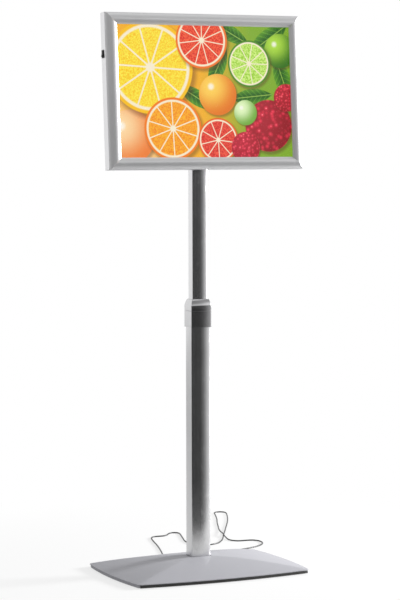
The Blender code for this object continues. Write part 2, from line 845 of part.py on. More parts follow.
def make_bracket_fixings(display):
    head = pivot_to_back + bracket_back - gap
    length = bracket_wall + gap + back_panel_wall + gap + backing_wall + gap + bracket_screw_tail
    face_back = turn(math.pi, "X")
    for number, (x, y) in enumerate(bracket_screw_places()):
        shape = screw(bracket_screw_radius, length, bracket_screw_head_radius, bracket_screw_head_height)
        piece(f"bracket_screw_{number + 1}", shape, "steel", display, move(x, y, head) @ face_back)
    plate = bowed_outline(bracket_half_width, bracket_half_height, 0, 0, bracket_corner)
    back = pivot_to_back + backing_back
    backing = piece("backing_plate", prism(plate, back, back + backing_wall), "steel", display)
    combine(backing, bracket_holes("backing_holes", display))


def make_tilt_bolt(display):
    inner = ear_inner_face()
    head = inner + ear_wall + gap
    knob_start = head
    stem_end = knob_start + tilt_knob_depth / 2
    profile = [(bolt_head_radius, -head - bolt_head_height), (bolt_head_radius, -head), (tilt_bolt_radius, -head),
               (tilt_bolt_radius, stem_end)]
    lie_across = turn(quarter_turn, "Y")
    piece("tilt_bolt", turned(profile), "steel", display, lie_across)
    axis = empty("tilt_knob_axis", lie_across, display)
    knob_end = knob_start + knob_neck_length + tilt_knob_depth
    piece("tilt_knob", knob(knob_start, knob_end, tilt_knob_radius, tilt_bolt_radius + gap, stem_end + gap),
          "black", axis)


# Light box

def side_place(side, inward=0.0, forward=0.0):
    """Place of a side's own axes: along the side, inward and forward."""
    turns = side_turns[side]
    extent = frame_width if turns % 2 else frame_height
    spin = turn(turns * quarter_turn, "Z")
    return move(0, centre_above_pivot, pivot_to_back) @ spin @ move(0, inward - extent / 2, forward)


def side_length(side):
    return frame_height if side_turns[side] % 2 else frame_width


def mitred_bar(section, length, inward=0.0, forward=0.0, square=0.0):
    """A bar with 45 degree ends, cut square where the section is within a reach of its outer edge.

    The section is given inward and forward, and drawn from the given zero.
    """
    rings = []
    for end in (-1, 1):
        rings.append([(end * (length / 2 - max(d, square) - gap), d - inward, w - forward) for d, w in section])
    return skin(rings)


def casing_section():
    """Side wall with a rear flange, a shelf for the light guide and a hook beside the rail's bead."""
    return [(0, 0), (rear_flange_reach, 0), (rear_flange_reach, rear_flange_wall), (casing_wall, rear_flange_wall),
            (casing_wall, shelf_height), (shelf_reach, shelf_height), (shelf_reach, shelf_front),
            (casing_wall, shelf_front), (casing_wall, casing_height - hook_root),
            (hook_inward + hook_wall, casing_height - hook_root), (hook_inward + hook_wall, casing_height + hook_rise),
            (hook_inward, casing_height + hook_rise), (hook_inward, casing_height), (0, casing_height)]


def rail_arc():
    """Centre, radius and the two end angles of a rail's outer face."""
    start = Vector((0, bead_forward))
    end = Vector((rail_width, lip_front))
    chord = end - start
    radius = (chord.length ** 2 / 4 + rail_sagitta ** 2) / (2 * rail_sagitta)
    across = Vector((-chord.y, chord.x)).normalized()
    centre = (start + end) / 2 + across * (rail_sagitta - radius)
    first = math.atan2(start.y - centre.y, start.x - centre.x)
    last = math.atan2(end.y - centre.y, end.x - centre.x)
    return centre, radius, first, last


def rail_section():
    """Crowned rail with a round bead at its outer edge and a thin lip at its inner edge."""
    centre, radius, first, last = rail_arc()
    points = []
    for step in range(bead_steps + 1):
        angle = math.pi + bead_sweep * step / bead_steps
        points.append((bead_radius + bead_radius * math.cos(angle), bead_forward + bead_radius * math.sin(angle)))
    inner_radius = radius - rail_wall
    lip_inner = rail_width - rail_lip_wall
    inner_last = math.acos((lip_inner - centre.x) / inner_radius)
    inner_first = first + (inner_last - first) * inner_start_share
    for step in range(arc_steps + 1):
        angle = inner_first + (inner_last - inner_first) * step / arc_steps
        points.append((centre.x + inner_radius * math.cos(angle), centre.y + inner_radius * math.sin(angle)))
    points += [(lip_inner, lip_back), (rail_width, lip_back)]
    for step in range(arc_steps):
        angle = last + (first - last) * step / arc_steps
        points.append((centre.x + radius * math.cos(angle), centre.y + radius * math.sin(angle)))
    return points


def make_casing(display):
    for side in side_turns:
        bar = piece("casing_" + side, mitred_bar(casing_section(), side_length(side)), "silver", display,
                    side_place(side))
        if side == "left":
            combine(bar, switch_opening(display))


def make_back_panel(display):
    inset = casing_wall + gap
    half_x = frame_width / 2 - inset
    half_y = frame_height / 2 - inset
    centre = move(0, centre_above_pivot, pivot_to_back)
    panel = piece("back_panel", block((-half_x, -half_y, back_panel_back), (half_x, half_y, back_panel_front)),
                  "white", display, centre)
    combine(panel, bracket_holes("panel_bracket_holes", display))
    hole = socket_radius + gap
    combine(panel, cutter("socket_hole", turned([(hole, -overrun), (hole, back_panel_front + overrun)]), display,
                          socket_place()))


def sheet(name, width, height, back, thickness, kind, display):
    return piece(name, block((-width / 2, -height / 2, back), (width / 2, height / 2, back + thickness)), kind,
                 display, move(0, centre_above_pivot, pivot_to_back))


def make_sheets(display):
    width = frame_width - 2 * stack_inward
    height = frame_height - 2 * stack_inward
    sheet("reflector_sheet", width, height, reflector_back, reflector_thickness, "white", display)
    sheet("light_guide", width, height, light_guide_back, light_guide_thickness, "clear", display)
    sheet("diffuser", width, height, diffuser_back, diffuser_thickness, "white", display)
    sheet("print_sheet", poster_width, poster_height, print_back, print_thickness, "print", display)
    sheet("cover_sheet", poster_width, poster_height, cover_back, cover_thickness, "clear", display)


def make_led_bars(display):
    """Boards of light-emitting chips that face the light guide's long edges."""
    half = led_board_length / 2
    chips = int(led_board_length / led_pitch)
    back_face = led_inward
    board_face = led_inward + led_board_wall
    outline = [(-half, back_face), (half, back_face), (half, board_face)]
    for number in reversed(range(chips)):
        middle = (number - (chips - 1) / 2) * led_pitch
        outline += [(middle + led_width / 2, board_face), (middle + led_width / 2, led_face),
                    (middle - led_width / 2, led_face), (middle - led_width / 2, board_face)]
    outline.append((-half, board_face))
    for side in ("top", "bottom"):
        piece("led_bar_" + side, prism(outline, reflector_back, reflector_back + led_board_height), "white",
              display, side_place(side))


def make_springs(display):
    """A leaf spring between the casing's hook and each rail."""
    centre, radius, first, last = rail_arc()
    foot_inward = hook_inward + hook_wall + gap
    tip_inward = foot_inward + rail_width / 4
    under = radius - rail_wall - 2 * gap
    tip_forward = centre.y + math.sqrt(under ** 2 - (tip_inward - centre.x) ** 2) - spring_wall
    bend_forward = casing_height + hook_rise
    start = casing_height - hook_root / 2
    outline = [(foot_inward, start), (foot_inward + spring_wall, start),
               (foot_inward + spring_wall, bend_forward), (tip_inward, tip_forward),
               (tip_inward - spring_wall, tip_forward + spring_wall / 2),
               (foot_inward, bend_forward + spring_wall)]
    across = Matrix(((0, 0, 1, 0), (1, 0, 0, 0), (0, 1, 0, 0), (0, 0, 0, 1)))
    for side in side_turns:
        piece("snap_spring_" + side, prism(outline, -spring_length / 2, spring_length / 2), "steel", display,
              side_place(side) @ across)


def make_rails(display):
    for side in side_turns:
        axis = empty("rail_axis_" + side, side_place(side, bead_radius, bead_forward), display)
        bar = mitred_bar(rail_section(), side_length(side), bead_radius, bead_forward, 2 * bead_radius)
        piece("snap_rail_" + side, bar, "silver", axis)


# Switch

def switch_place():
    along = switch_below_top - frame_height / 2
    return side_place("left", 0, switch_forward) @ move(along)


def switch_opening(display):
    half_a = switch_body_height / 2 + gap
    half_w = switch_body_width / 2 + gap
    return cutter("switch_opening", block((-half_a, -overrun, -half_w), (half_a, casing_wall + overrun, half_w)),
                  display, switch_place())


def make_switch(display):
    half_a = bezel_height / 2
    half_w = bezel_width / 2
    body = piece("switch_body", block((-half_a, -gap - bezel_wall, -half_w), (half_a, -gap, half_w)), "black",
                 display, switch_place())
    tuck_a = switch_body_height / 2
    tuck_w = switch_body_width / 2
    combine(body, cutter("switch_core", block((-tuck_a, -gap - bezel_wall / 2, -tuck_w),
                                              (tuck_a, switch_body_depth, tuck_w)), display, switch_place()), "UNION")
    well_a = rocker_height / 2 + rocker_clearance
    well_w = rocker_width / 2 + gap
    combine(body, cutter("switch_well", block((-well_a, -gap - bezel_wall - overrun, -well_w),
                                              (well_a, rocker_root + rocker_clearance, well_w)),
                         display, switch_place()))
    make_rocker(display)


def make_rocker(display):
    """Rocker that is pressed in at its upper end, so its lower end stands out."""
    pivot = switch_place() @ move(0, -rocker_pivot_proud)
    axis = empty("rocker_axis", pivot @ turn(-rocker_swing, "Z"), display)
    half = rocker_height / 2
    root = rocker_root / 2
    outline = [(-half, -rocker_proud), (0, -rocker_proud + rocker_dish), (half, -rocker_proud), (half, root / 2),
               (half / 2, root), (-half / 2, root), (-half, root / 2)]
    piece("switch_rocker", prism(outline, -rocker_width / 2, rocker_width / 2), "black", axis)


# Socket, plug and leads

def socket_place():
    return move(socket_right, centre_above_pivot - socket_below_centre, pivot_to_back)


def make_socket(display):
    flange_front = back_panel_back - gap
    profile = [(socket_flange_radius, flange_front - socket_flange_wall), (socket_flange_radius, flange_front),
               (socket_radius, flange_front), (socket_radius, flange_front + socket_depth)]
    socket = piece("dc_socket", turned(profile), "black", display, socket_place())
    bore_end = flange_front + socket_depth - socket_flange_wall
    combine(socket, cutter("socket_bore", turned([(socket_bore_radius, -overrun), (socket_bore_radius, bore_end)]),
                           display, socket_place()))
    mouth = flange_front - socket_flange_wall - gap
    tip = mouth + plug_tip_length
    relief_start = mouth - plug_length
    relief_end = relief_start - plug_relief_length
    profile = [(lead_radius + gap, relief_end), (plug_relief_radius, relief_start), (plug_radius, relief_start),
               (plug_radius, mouth), (plug_tip_radius, mouth), (plug_tip_radius, tip)]
    piece("dc_plug", turned(profile), "black", display, socket_place())
    return flange_front + socket_depth, relief_end


def make_power_wire(display, socket_front):
    """Lead inside the light box from the socket to the switch."""
    centre = move(0, centre_above_pivot, pivot_to_back)
    inner = centre.inverted()
    switch_end = inner @ switch_place() @ Vector((0, switch_body_depth + gap, 0))
    socket_end = inner @ socket_place() @ Vector((0, 0, socket_front + wire_radius + gap))
    middle = (back_panel_front + shelf_height) / 2
    sweep = frame_width / 8
    route = [socket_end, socket_end + Vector((-sweep / 4, 0, 0)), Vector((0, socket_end.y + sweep / 2, middle)),
             Vector((-sweep * 2, 0, middle)), switch_end + Vector((sweep, -sweep / 2, 0)),
             switch_end + Vector((sweep / 4, 0, 0)), switch_end]
    lead("power_wire", smooth_route(route, inner_route_step), wire_radius, display, centre)


def make_tilt_loop(display, plug_end):
    """Free loop of lead between the plug and the pole."""
    start = display.matrix_basis @ socket_place() @ Vector((0, 0, plug_end - gap))
    end = Vector((upper_half_width + side_bow + 2 * gap + grommet_flange_wall, 0, grommet_height))
    drop = 4 * plug_radius
    route = [start, start + Vector((0, drop / 4, 0)), start + Vector((0, drop * 3 / 4, -drop / 2)),
             start + Vector((0, drop * 3 / 4, -drop * 3 / 2)), start + Vector((0, drop / 2, -drop * 5 / 2)),
             start + Vector((-drop / 2, drop / 4, -drop * 3)), end + Vector((drop, 0, -drop * 5 / 4)),
             end + Vector((drop, 0, -drop / 2)), end + Vector((drop / 3, 0, 0)), end]
    lead("lead_tilt_loop", smooth_route(route, loop_route_step), lead_radius)


def make_pole_leads(gland_inner):
    """The lead inside the poles and the base."""
    side = upper_half_width - upper_wall - 2 * gap
    bend = grommet_flange_radius * 2
    upper_end = upper_tube_bottom - bush_floor
    upper = [(side, 0, grommet_height), (side - bend / 3, 0, grommet_height),
             (side / 4, 0, grommet_height - bend), (0, 0, grommet_height - 2 * bend),
             (0, 0, (grommet_height + upper_end) / 2), (0, 0, upper_end)]
    lead("lead_upper", smooth_route(upper, inner_route_step), lead_radius)
    slack_top = upper_end - gap
    slack_bottom = foot_plug_top + gap
    slack = []
    for step in range(slack_steps + 1):
        share = step / slack_steps
        sway = slack_sway * math.sin(math.pi * share)
        angle = 2 * math.pi * slack_waves * share
        slack.append((sway * math.cos(angle), sway * math.sin(angle) * lower_half_side / lower_half_width,
                      slack_bottom + (slack_top - slack_bottom) * share))
    lead("lead_slack", slack, lead_radius)
    rear = lower_half_side + lower_bow
    slot_middle = flange_top + lead_slot_height / 2
    notch_start = skirt_half_depth + base_front_bow - gland_notch_depth
    base = [(0, 0, foot_plug_top), (0, 0, flange_top + 2 * lead_slot_height), (0, rear / 3, slot_middle),
            (0, rear, slot_middle - lead_radius), (0, rear * 2, slot_middle - 2 * lead_radius),
            (0, notch_start, ballast_top + 2 * lead_radius),
            (0, gland_inner - lead_bore_half_x, gland_height + gap), (0, gland_inner - gap, gland_height)]
    lead("lead_base", smooth_route(base, inner_route_step / 2), lead_radius)


def floor_route(gland_end):
    """Route of the lead on the floor: from the gland, around two bends, over itself and back."""
    low = lead_radius + gap / 2
    rise = 2 * lead_radius
    hop = 3 * lead_radius + 4 * gap
    return [
        (0.000, gland_end + gap, gland_height), (0.001, 0.178, 0.0031), (0.006, 0.200, low), (0.016, 0.230, low),
        (0.030, 0.273, low), (0.044, 0.320, low), (0.057, 0.369, low), (0.066, 0.398, low), (0.071, 0.409, low),
        (0.079, 0.417, low), (0.090, 0.419, low), (0.102, 0.418, low), (0.112, 0.421, low), (0.121, 0.430, low),
        (0.129, 0.441, low), (0.137, 0.448, low), (0.147, 0.448, low), (0.153, 0.440, low), (0.152, 0.429, low),
        (0.146, 0.409, low), (0.134, 0.372, low), (0.121, 0.328, low), (0.121, 0.289, low), (0.144, 0.267, low),
        (0.172, 0.273, low), (0.199, 0.301, low), (0.219, 0.334, low), (0.237, 0.368, low), (0.262, 0.413, low),
        (0.288, 0.461, low), (0.312, 0.505, low), (0.338, 0.555, low), (0.360, 0.602, low), (0.374, 0.635, low),
        (0.381, 0.655, low), (0.381, 0.666, low), (0.374, 0.673, low), (0.363, 0.673, low), (0.355, 0.665, low),
        (0.347, 0.645, low), (0.336, 0.617, low), (0.320, 0.578, low), (0.299, 0.532, low), (0.279, 0.485, low),
        (0.263, 0.447, low), (0.249, 0.410, rise), (0.236, 0.370, hop), (0.226, 0.333, rise), (0.222, 0.308, low),
        (0.226, 0.291, low), (0.238, 0.282, low), (0.253, 0.282, low), (0.267, 0.279, low), (0.276, 0.268, low),
        (0.277, 0.250, low), (0.271, 0.232, low), (0.256, 0.213, low), (0.235, 0.198, low), (0.200, 0.184, low),
        (0.165, 0.177, low), (0.135, 0.174, rise), (0.118, 0.173, connector_radius),
    ]


def make_floor_lead(gland_end):
    route = smooth_route(floor_route(gland_end), route_step, bend_length)
    lead("floor_lead", route, lead_radius)
    end = route[-1]
    profile = [(connector_radius, -connector_relief_length - connector_length),
               (connector_radius, -connector_relief_length), (connector_relief_radius, -connector_relief_length),
               (lead_radius + gap, 0)]
    piece("lead_connector", turned(profile), "black",
          place=move(end.x - gap, end.y, connector_radius) @ turn(quarter_turn, "Y"))


clear_scene()
finishes = make_finishes()
make_base_cover()
make_ballast()
make_edge_strips()
make_base_pad()
make_pole_foot()
gland_inner, gland_end = make_gland()
make_lower_tube()
make_collar()
make_liner()
make_lock()
make_upper_tube()
display = empty("tilt_axis", move(0, 0, pivot_height) @ turn(quarter_turn - rest_tilt, "X"))
make_bracket(display)
make_bracket_fixings(display)
make_tilt_bolt(display)
make_casing(display)
make_back_panel(display)
make_sheets(display)
make_led_bars(display)
make_springs(display)
make_rails(display)
make_switch(display)
socket_front, plug_end = make_socket(display)
make_power_wire(display, socket_front)
make_tilt_loop(display, plug_end)
make_pole_leads(gland_inner)
make_floor_lead(gland_end)
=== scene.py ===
# %% [markdown]
# # A lit poster board, dressed for its portrait
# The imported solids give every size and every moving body. This lesson gives them their looks: smooth drawn
# tubes, crowned snap rails, a pressed base, a soft lead on the floor and a back-lit print. Each step says
# what the real thing is, how it could be made in Blender, and why one way was chosen.

import math

import bmesh
import bpy
from mathutils import Matrix, Vector


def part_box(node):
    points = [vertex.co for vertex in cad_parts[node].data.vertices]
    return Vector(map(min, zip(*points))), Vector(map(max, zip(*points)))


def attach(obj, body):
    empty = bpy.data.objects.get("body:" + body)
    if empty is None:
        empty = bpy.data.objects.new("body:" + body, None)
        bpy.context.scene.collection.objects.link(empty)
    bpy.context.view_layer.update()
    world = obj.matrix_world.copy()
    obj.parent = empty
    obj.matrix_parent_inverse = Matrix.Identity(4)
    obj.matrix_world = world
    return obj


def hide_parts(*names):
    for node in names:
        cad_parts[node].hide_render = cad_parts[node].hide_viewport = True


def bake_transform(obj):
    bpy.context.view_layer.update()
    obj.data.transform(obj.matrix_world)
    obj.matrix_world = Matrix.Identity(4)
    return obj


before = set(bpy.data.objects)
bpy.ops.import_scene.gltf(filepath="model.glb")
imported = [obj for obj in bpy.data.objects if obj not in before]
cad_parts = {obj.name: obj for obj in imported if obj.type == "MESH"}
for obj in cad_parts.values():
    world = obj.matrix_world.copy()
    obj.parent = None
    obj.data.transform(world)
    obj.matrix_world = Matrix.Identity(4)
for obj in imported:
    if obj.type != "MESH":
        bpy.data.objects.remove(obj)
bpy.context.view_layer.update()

# %% [markdown]
# ## The camera
# The stand is seen from its left front, from almost five metres away and a little below the top of the
# poster. A long lens keeps the uprights parallel. Three turns place the camera: how far it is turned to the
# side, how far down it looks and how much it is rolled.

# %% Camera
camera_place = Vector((-2.0603, -4.4079, 0.9259))
camera_heading = math.radians(-25.104)
camera_dip = math.radians(4.0175)
camera_roll = math.radians(-0.100)
lens_length = 137.04
film_height = 36
quarter = math.radians(90)


def moved(x, y, z):
    return Matrix.Translation((x, y, z))


def turned(angle, axis):
    return Matrix.Rotation(angle, 4, axis)


bpy.ops.object.camera_add()
camera = bpy.context.active_object
camera.name = "portrait_camera"
camera.matrix_world = (moved(*camera_place) @ turned(camera_heading, "Z") @ turned(quarter - camera_dip, "X")
                       @ turned(camera_roll, "Z"))
camera.data.lens = lens_length
camera.data.sensor_width = film_height
bpy.context.scene.camera = camera
print("camera", [round(value, 3) for value in camera_place])

# %% [markdown]
# ## Hands for modelling
# Every new piece starts as a primitive at its size and place and is shaped in edit mode. The helpers do what
# a modeller's hands do: open a mesh, select faces, edges or points by where they are, pull a face up and
# size it, and close the mesh again.

# %% Modelling helpers
near = 1e-5


def leave():
    bpy.ops.object.mode_set(mode="OBJECT")


def alone(thing):
    """Make one object the only selected and active one."""
    if bpy.context.mode != "OBJECT":
        leave()
    bpy.ops.object.select_all(action="DESELECT")
    thing.select_set(True)
    bpy.context.view_layer.objects.active = thing


def named(name):
    """Name the primitive that was just added and bring its size and place into its mesh."""
    thing = bpy.context.active_object
    thing.name = name
    thing.data.name = name
    alone(thing)
    bpy.ops.object.transform_apply(location=True, rotation=True, scale=True)
    return thing


def add_block(name, low, high):
    """A box between two corners."""
    low = Vector(low)
    high = Vector(high)
    bpy.ops.mesh.primitive_cube_add(size=1, location=(low + high) / 2, scale=high - low)
    return named(name)


def pick(thing, kind, test):
    """In edit mode, select the faces, edges or points that pass a test."""
    if bpy.context.mode != "EDIT_MESH":
        alone(thing)
        bpy.ops.object.mode_set(mode="EDIT")
    bpy.ops.mesh.select_mode(type=kind)
    bpy.ops.mesh.select_all(action="DESELECT")
    mesh = bmesh.from_edit_mesh(thing.data)
    for item in {"VERT": mesh.verts, "EDGE": mesh.edges, "FACE": mesh.faces}[kind]:
        if test(item):
            item.select_set(True)
    mesh.select_flush_mode()
    bmesh.update_edit_mesh(thing.data)


def middle(edge):
    return (edge.verts[0].co + edge.verts[1].co) / 2


def runs_along(edge, axis):
    line = edge.verts[1].co - edge.verts[0].co
    return abs(line[axis]) > 0.999 * line.length


def looks_up(face):
    return face.normal.z > 0.999


def looks_down(face):
    return face.normal.z < -0.999


def anywhere(item):
    return True


def push_rows(thing, axis, test, step):
    """Push each row of a divided block's points along an axis by its own step."""
    points = bmesh.from_edit_mesh(thing.data).verts
    for row in sorted({round(point.co[axis], 6) for point in points if test(point)}):
        pick(thing, "VERT", lambda point: abs(point.co[axis] - row) < near and test(point))
        bpy.ops.transform.translate(value=step(row))


def between(start, end, share):
    return start + (end - start) * share


def step_up(last, size_x, size_y, height):
    """Pull the selected face from its last sizes and height to the next ones."""
    bpy.ops.mesh.extrude_region_move(TRANSFORM_OT_translate={"value": (0, 0, height - last[2])})
    bpy.ops.transform.resize(value=(size_x / last[0], size_y / last[1], 1), center_override=(0, 0, height))
    return size_x, size_y, height


def use(thing, kind, **settings):
    """Add a modifier with its settings and apply it."""
    alone(thing)
    step = thing.modifiers.new(kind.lower(), kind)
    for name, value in settings.items():
        setattr(step, name, value)
    bpy.ops.object.modifier_apply(modifier=step.name)


def cut(thing, tool, operation="DIFFERENCE"):
    """Boolean with a tool that is thrown away afterwards."""
    use(thing, "BOOLEAN", operation=operation, object=tool, solver="EXACT")
    bpy.data.objects.remove(tool, do_unlink=True)


def soften(thing, width, steps=2, angle=40):
    """Round the sharp edges of a finished mesh."""
    use(thing, "BEVEL", width=width, segments=steps, limit_method="ANGLE", angle_limit=math.radians(angle),
        use_clamp_overlap=True)


def smooth(thing, angle=35):
    alone(thing)
    bpy.ops.object.shade_smooth_by_angle(angle=math.radians(angle))


def place_piece(thing, place):
    """Move a piece that was made at the origin, and keep its object there."""
    alone(thing)
    thing.matrix_world = place
    bpy.ops.object.transform_apply(location=True, rotation=True, scale=True)


def copy_of(thing, name, place):
    """A copy with its own mesh, put in its place."""
    twin = thing.copy()
    twin.data = thing.data.copy()
    twin.name = name
    twin.data.name = name
    bpy.context.scene.collection.objects.link(twin)
    place_piece(twin, place)
    return twin


def add_turned(name, profile, steps=48):
    """A round piece drawn upwards from its lowest disc through pairs of radius and height."""
    radius, height = profile[0]
    bpy.ops.mesh.primitive_circle_add(vertices=steps, radius=radius, fill_type="NGON",
                                      location=(0, 0, height))
    thing = named(name)
    bpy.ops.object.mode_set(mode="EDIT")
    bpy.ops.mesh.select_all(action="SELECT")
    last = (radius, radius, height)
    for radius, height in profile[1:]:
        last = step_up(last, radius, radius, height)
    bpy.ops.mesh.select_all(action="SELECT")
    bpy.ops.mesh.normals_make_consistent(inside=False)
    leave()
    return thing


def add_rod(name, radius, low, high, steps=48):
    return add_turned(name, [(radius, low), (radius, high)], steps)


def lie_along(axis):
    """The turn that lays a piece drawn upwards along another direction."""
    return Vector((0, 0, 1)).rotation_difference(Vector(axis)).to_matrix().to_4x4()


print("helpers ready")

# %% [markdown]
# ## The lead on the floor
# A thin, limp low-voltage lead leaves the gland in the rear skirt, wanders over the floor behind the base,
# crosses itself once in a long low hump and comes back behind the base, where it ends in a small in-line
# connector. A lead is a fixed length of something flexible, so it is one curve through points measured on
# the floor. The spline is a poly line through close points of a smooth curve, which gives it the same line
# as the solid and keeps its length true.

# %% Smooth line through points
lead_radius = 0.0015
line_samples = 24


def heading_at(before, here, after):
    back = here - before
    ahead = after - here
    return (back * ahead.length / back.length + ahead * back.length / ahead.length).normalized()


def smooth_line(points, step):
    """Evenly spaced points on a smooth curve through the given ones; the end legs stay straight."""
    marks = [Vector(point) for point in points]
    fine = [marks[0]]
    for before, start, end, after in zip(marks, marks[1:], marks[2:], marks[3:]):
        leg = end - start
        away = heading_at(before, start, end) * leg.length
        arrive = heading_at(start, end, after) * leg.length
        for sample in range(line_samples):
            t = sample / line_samples
            rest = 1 - t
            fine.append(start + leg * t * t * (3 - 2 * t) + away * t * rest ** 2 - arrive * t * t * rest)
    fine += marks[-2:]
    run = [0.0]
    for here, after in zip(fine, fine[1:]):
        run.append(run[-1] + (after - here).length)
    count = round(run[-1] / step)
    line = []
    index = 0
    for number in range(count + 1):
        wanted = run[-1] * number / count
        while index < len(run) - 2 and run[index + 1] < wanted:
            index += 1
        share = (wanted - run[index]) / (run[index + 1] - run[index])
        line.append(fine[index].lerp(fine[index + 1], share))
    return line, run[-1]


def draw_lead(name, line, radius):
    """A round lead along a line: a curve with filled ends, made into a mesh."""
    curve = bpy.data.curves.new(name, "CURVE")
    curve.dimensions = "3D"
    curve.bevel_depth = radius
    curve.bevel_resolution = 4
    curve.use_fill_caps = True
    spline = curve.splines.new("POLY")
    spline.points.add(len(line) - 1)
    for point, spot in zip(spline.points, line):
        point.co = (*spot, 1)
    lead = bpy.data.objects.new(name, curve)
    bpy.context.scene.collection.objects.link(lead)
    alone(lead)
    bpy.ops.object.convert(target="MESH")
    return bpy.context.active_object


# %% Floor lead
lead_low = 0.00165
lead_rise = 0.0030
lead_hop = 0.0057
lead_step = 0.006
lead_exit = (0.0, 0.1593, 0.0042)
lead_end = (0.118, 0.173, 0.0048)


def lying(*spots):
    """Points where the lead lies on the floor, given in millimetres."""
    return [(x / 1000, y / 1000, lead_low) for x, y in spots]


floor_marks = [
    lead_exit, (0.001, 0.178, 0.0031), *lying(
        (6, 200), (16, 230), (30, 273), (44, 320), (57, 369), (66, 398),
        (71, 409), (79, 417), (90, 419), (102, 418), (112, 421), (121, 430),
        (129, 441), (137, 448), (147, 448), (153, 440), (152, 429), (146, 409),
        (134, 372), (121, 328), (121, 289), (144, 267), (172, 273), (199, 301),
        (219, 334), (237, 368), (262, 413), (288, 461), (312, 505), (338, 555),
        (360, 602), (374, 635), (381, 655), (381, 666), (374, 673), (363, 673),
        (355, 665), (347, 645), (336, 617), (320, 578), (299, 532), (279, 485),
        (263, 447)),
    (0.249, 0.410, lead_rise), (0.236, 0.370, lead_hop), (0.226, 0.333, lead_rise), *lying(
        (222, 308), (226, 291), (238, 282), (253, 282), (267, 279), (276, 268),
        (277, 250), (271, 232), (256, 213), (235, 198), (200, 184), (165, 177)),
    (0.135, 0.174, lead_rise), lead_end,
]
lead_line, lead_length = smooth_line(floor_marks, lead_step)
floor_lead = draw_lead("lead_on_floor", lead_line, lead_radius)
print("floor lead", round(lead_length, 3), "m in", len(lead_line), "points")

# %% [markdown]
# ## Axes of the light box
# The light box leans back by a few degrees around the tilt axis. Its pieces are made in its own axes, x
# along the poster, y up and z out of its face. Each of its four sides has its own axes again, with y
# inwards, so that one rail profile serves all four.

# %% Light box axes and sizes
pivot = Vector((0, 0, 1.0))
rest_tilt = math.radians(4.2)
box_place = moved(*pivot) @ turned(quarter - rest_tilt, "X")
frame_width = 0.450
frame_height = 0.327
pivot_to_back = 0.0191
centre_above_pivot = 0.0236
centre_place = box_place @ moved(0, centre_above_pivot, pivot_to_back)


def side_place(side):
    """One side's own axes: x along it, y inwards, z out of the face, zero at the outer rear edge."""
    turns = {"bottom": 0, "right": 1, "top": 2, "left": 3}[side]
    extent = frame_width if turns % 2 else frame_height
    return centre_place @ turned(turns * quarter, "Z") @ moved(0, -extent / 2, 0)


print("light box centre", [round(value, 4) for value in centre_place.translation])

# %% [markdown]
# ## Writing finishes as sums
# A finish is a small network of nodes. Written node by node it becomes long and hard to read, so a wire,
# which is one output socket, is wrapped in a class that understands plus, minus, times and divided by. Then
# 1 - mask adds a Math node by itself. Everything else comes from one method that takes the node's type, its
# settings and its inputs. What is the same all over a surface is set on the shader itself.

# %% Wires and finishes
def operator(operation, swapped=False):
    """A method that joins a wire and another value in a Math node."""
    return lambda wire, other: wire.math(operation, *((other, wire) if swapped else (wire, other)))


class Wire:
    """One output socket of a finish; arithmetic on it adds Math nodes."""

    def __init__(self, finish, socket):
        self.finish = finish
        self.socket = socket

    def math(self, operation, *values):
        return self.finish.node("Math", {"operation": operation}, dict(enumerate(values)))

    __add__ = operator("ADD")
    __radd__ = operator("ADD", True)
    __sub__ = operator("SUBTRACT")
    __rsub__ = operator("SUBTRACT", True)
    __mul__ = operator("MULTIPLY")
    __rmul__ = operator("MULTIPLY", True)
    __truediv__ = operator("DIVIDE")
    most = operator("MAXIMUM")
    least = operator("MINIMUM")

    def size(self):
        return self.math("ABSOLUTE", self)

    def apart(self, pitch):
        """Distance from the nearest multiple of a pitch."""
        turns = self / pitch + 0.5
        return (turns.math("FRACT", turns) - 0.5).size() * pitch

    def fade(self, low, high):
        """Zero below low, one above high and a soft step between them, or the other way round."""
        return self.finish.node("MapRange", {"interpolation_type": "SMOOTHSTEP"},
                                {"Value": self, "From Min": low, "From Max": high})


class Net:
    """A network of nodes; each comes from its type, its settings and the values or wires of its inputs."""

    def __init__(self, tree):
        self.tree = tree

    def node(self, kind, settings=None, values=None, output=0):
        item = self.tree.nodes.new("ShaderNode" + kind)
        for name, value in (settings or {}).items():
            setattr(item, name, value)
        for name, value in (values or {}).items():
            if isinstance(value, Wire):
                self.tree.links.new(value.socket, item.inputs[name])
            else:
                item.inputs[name].default_value = value
        return Wire(self, item.outputs[output])

    def vector(self, operation, first, second, output=0):
        return self.node("VectorMath", {"operation": operation}, {0: first, 1: second}, output)


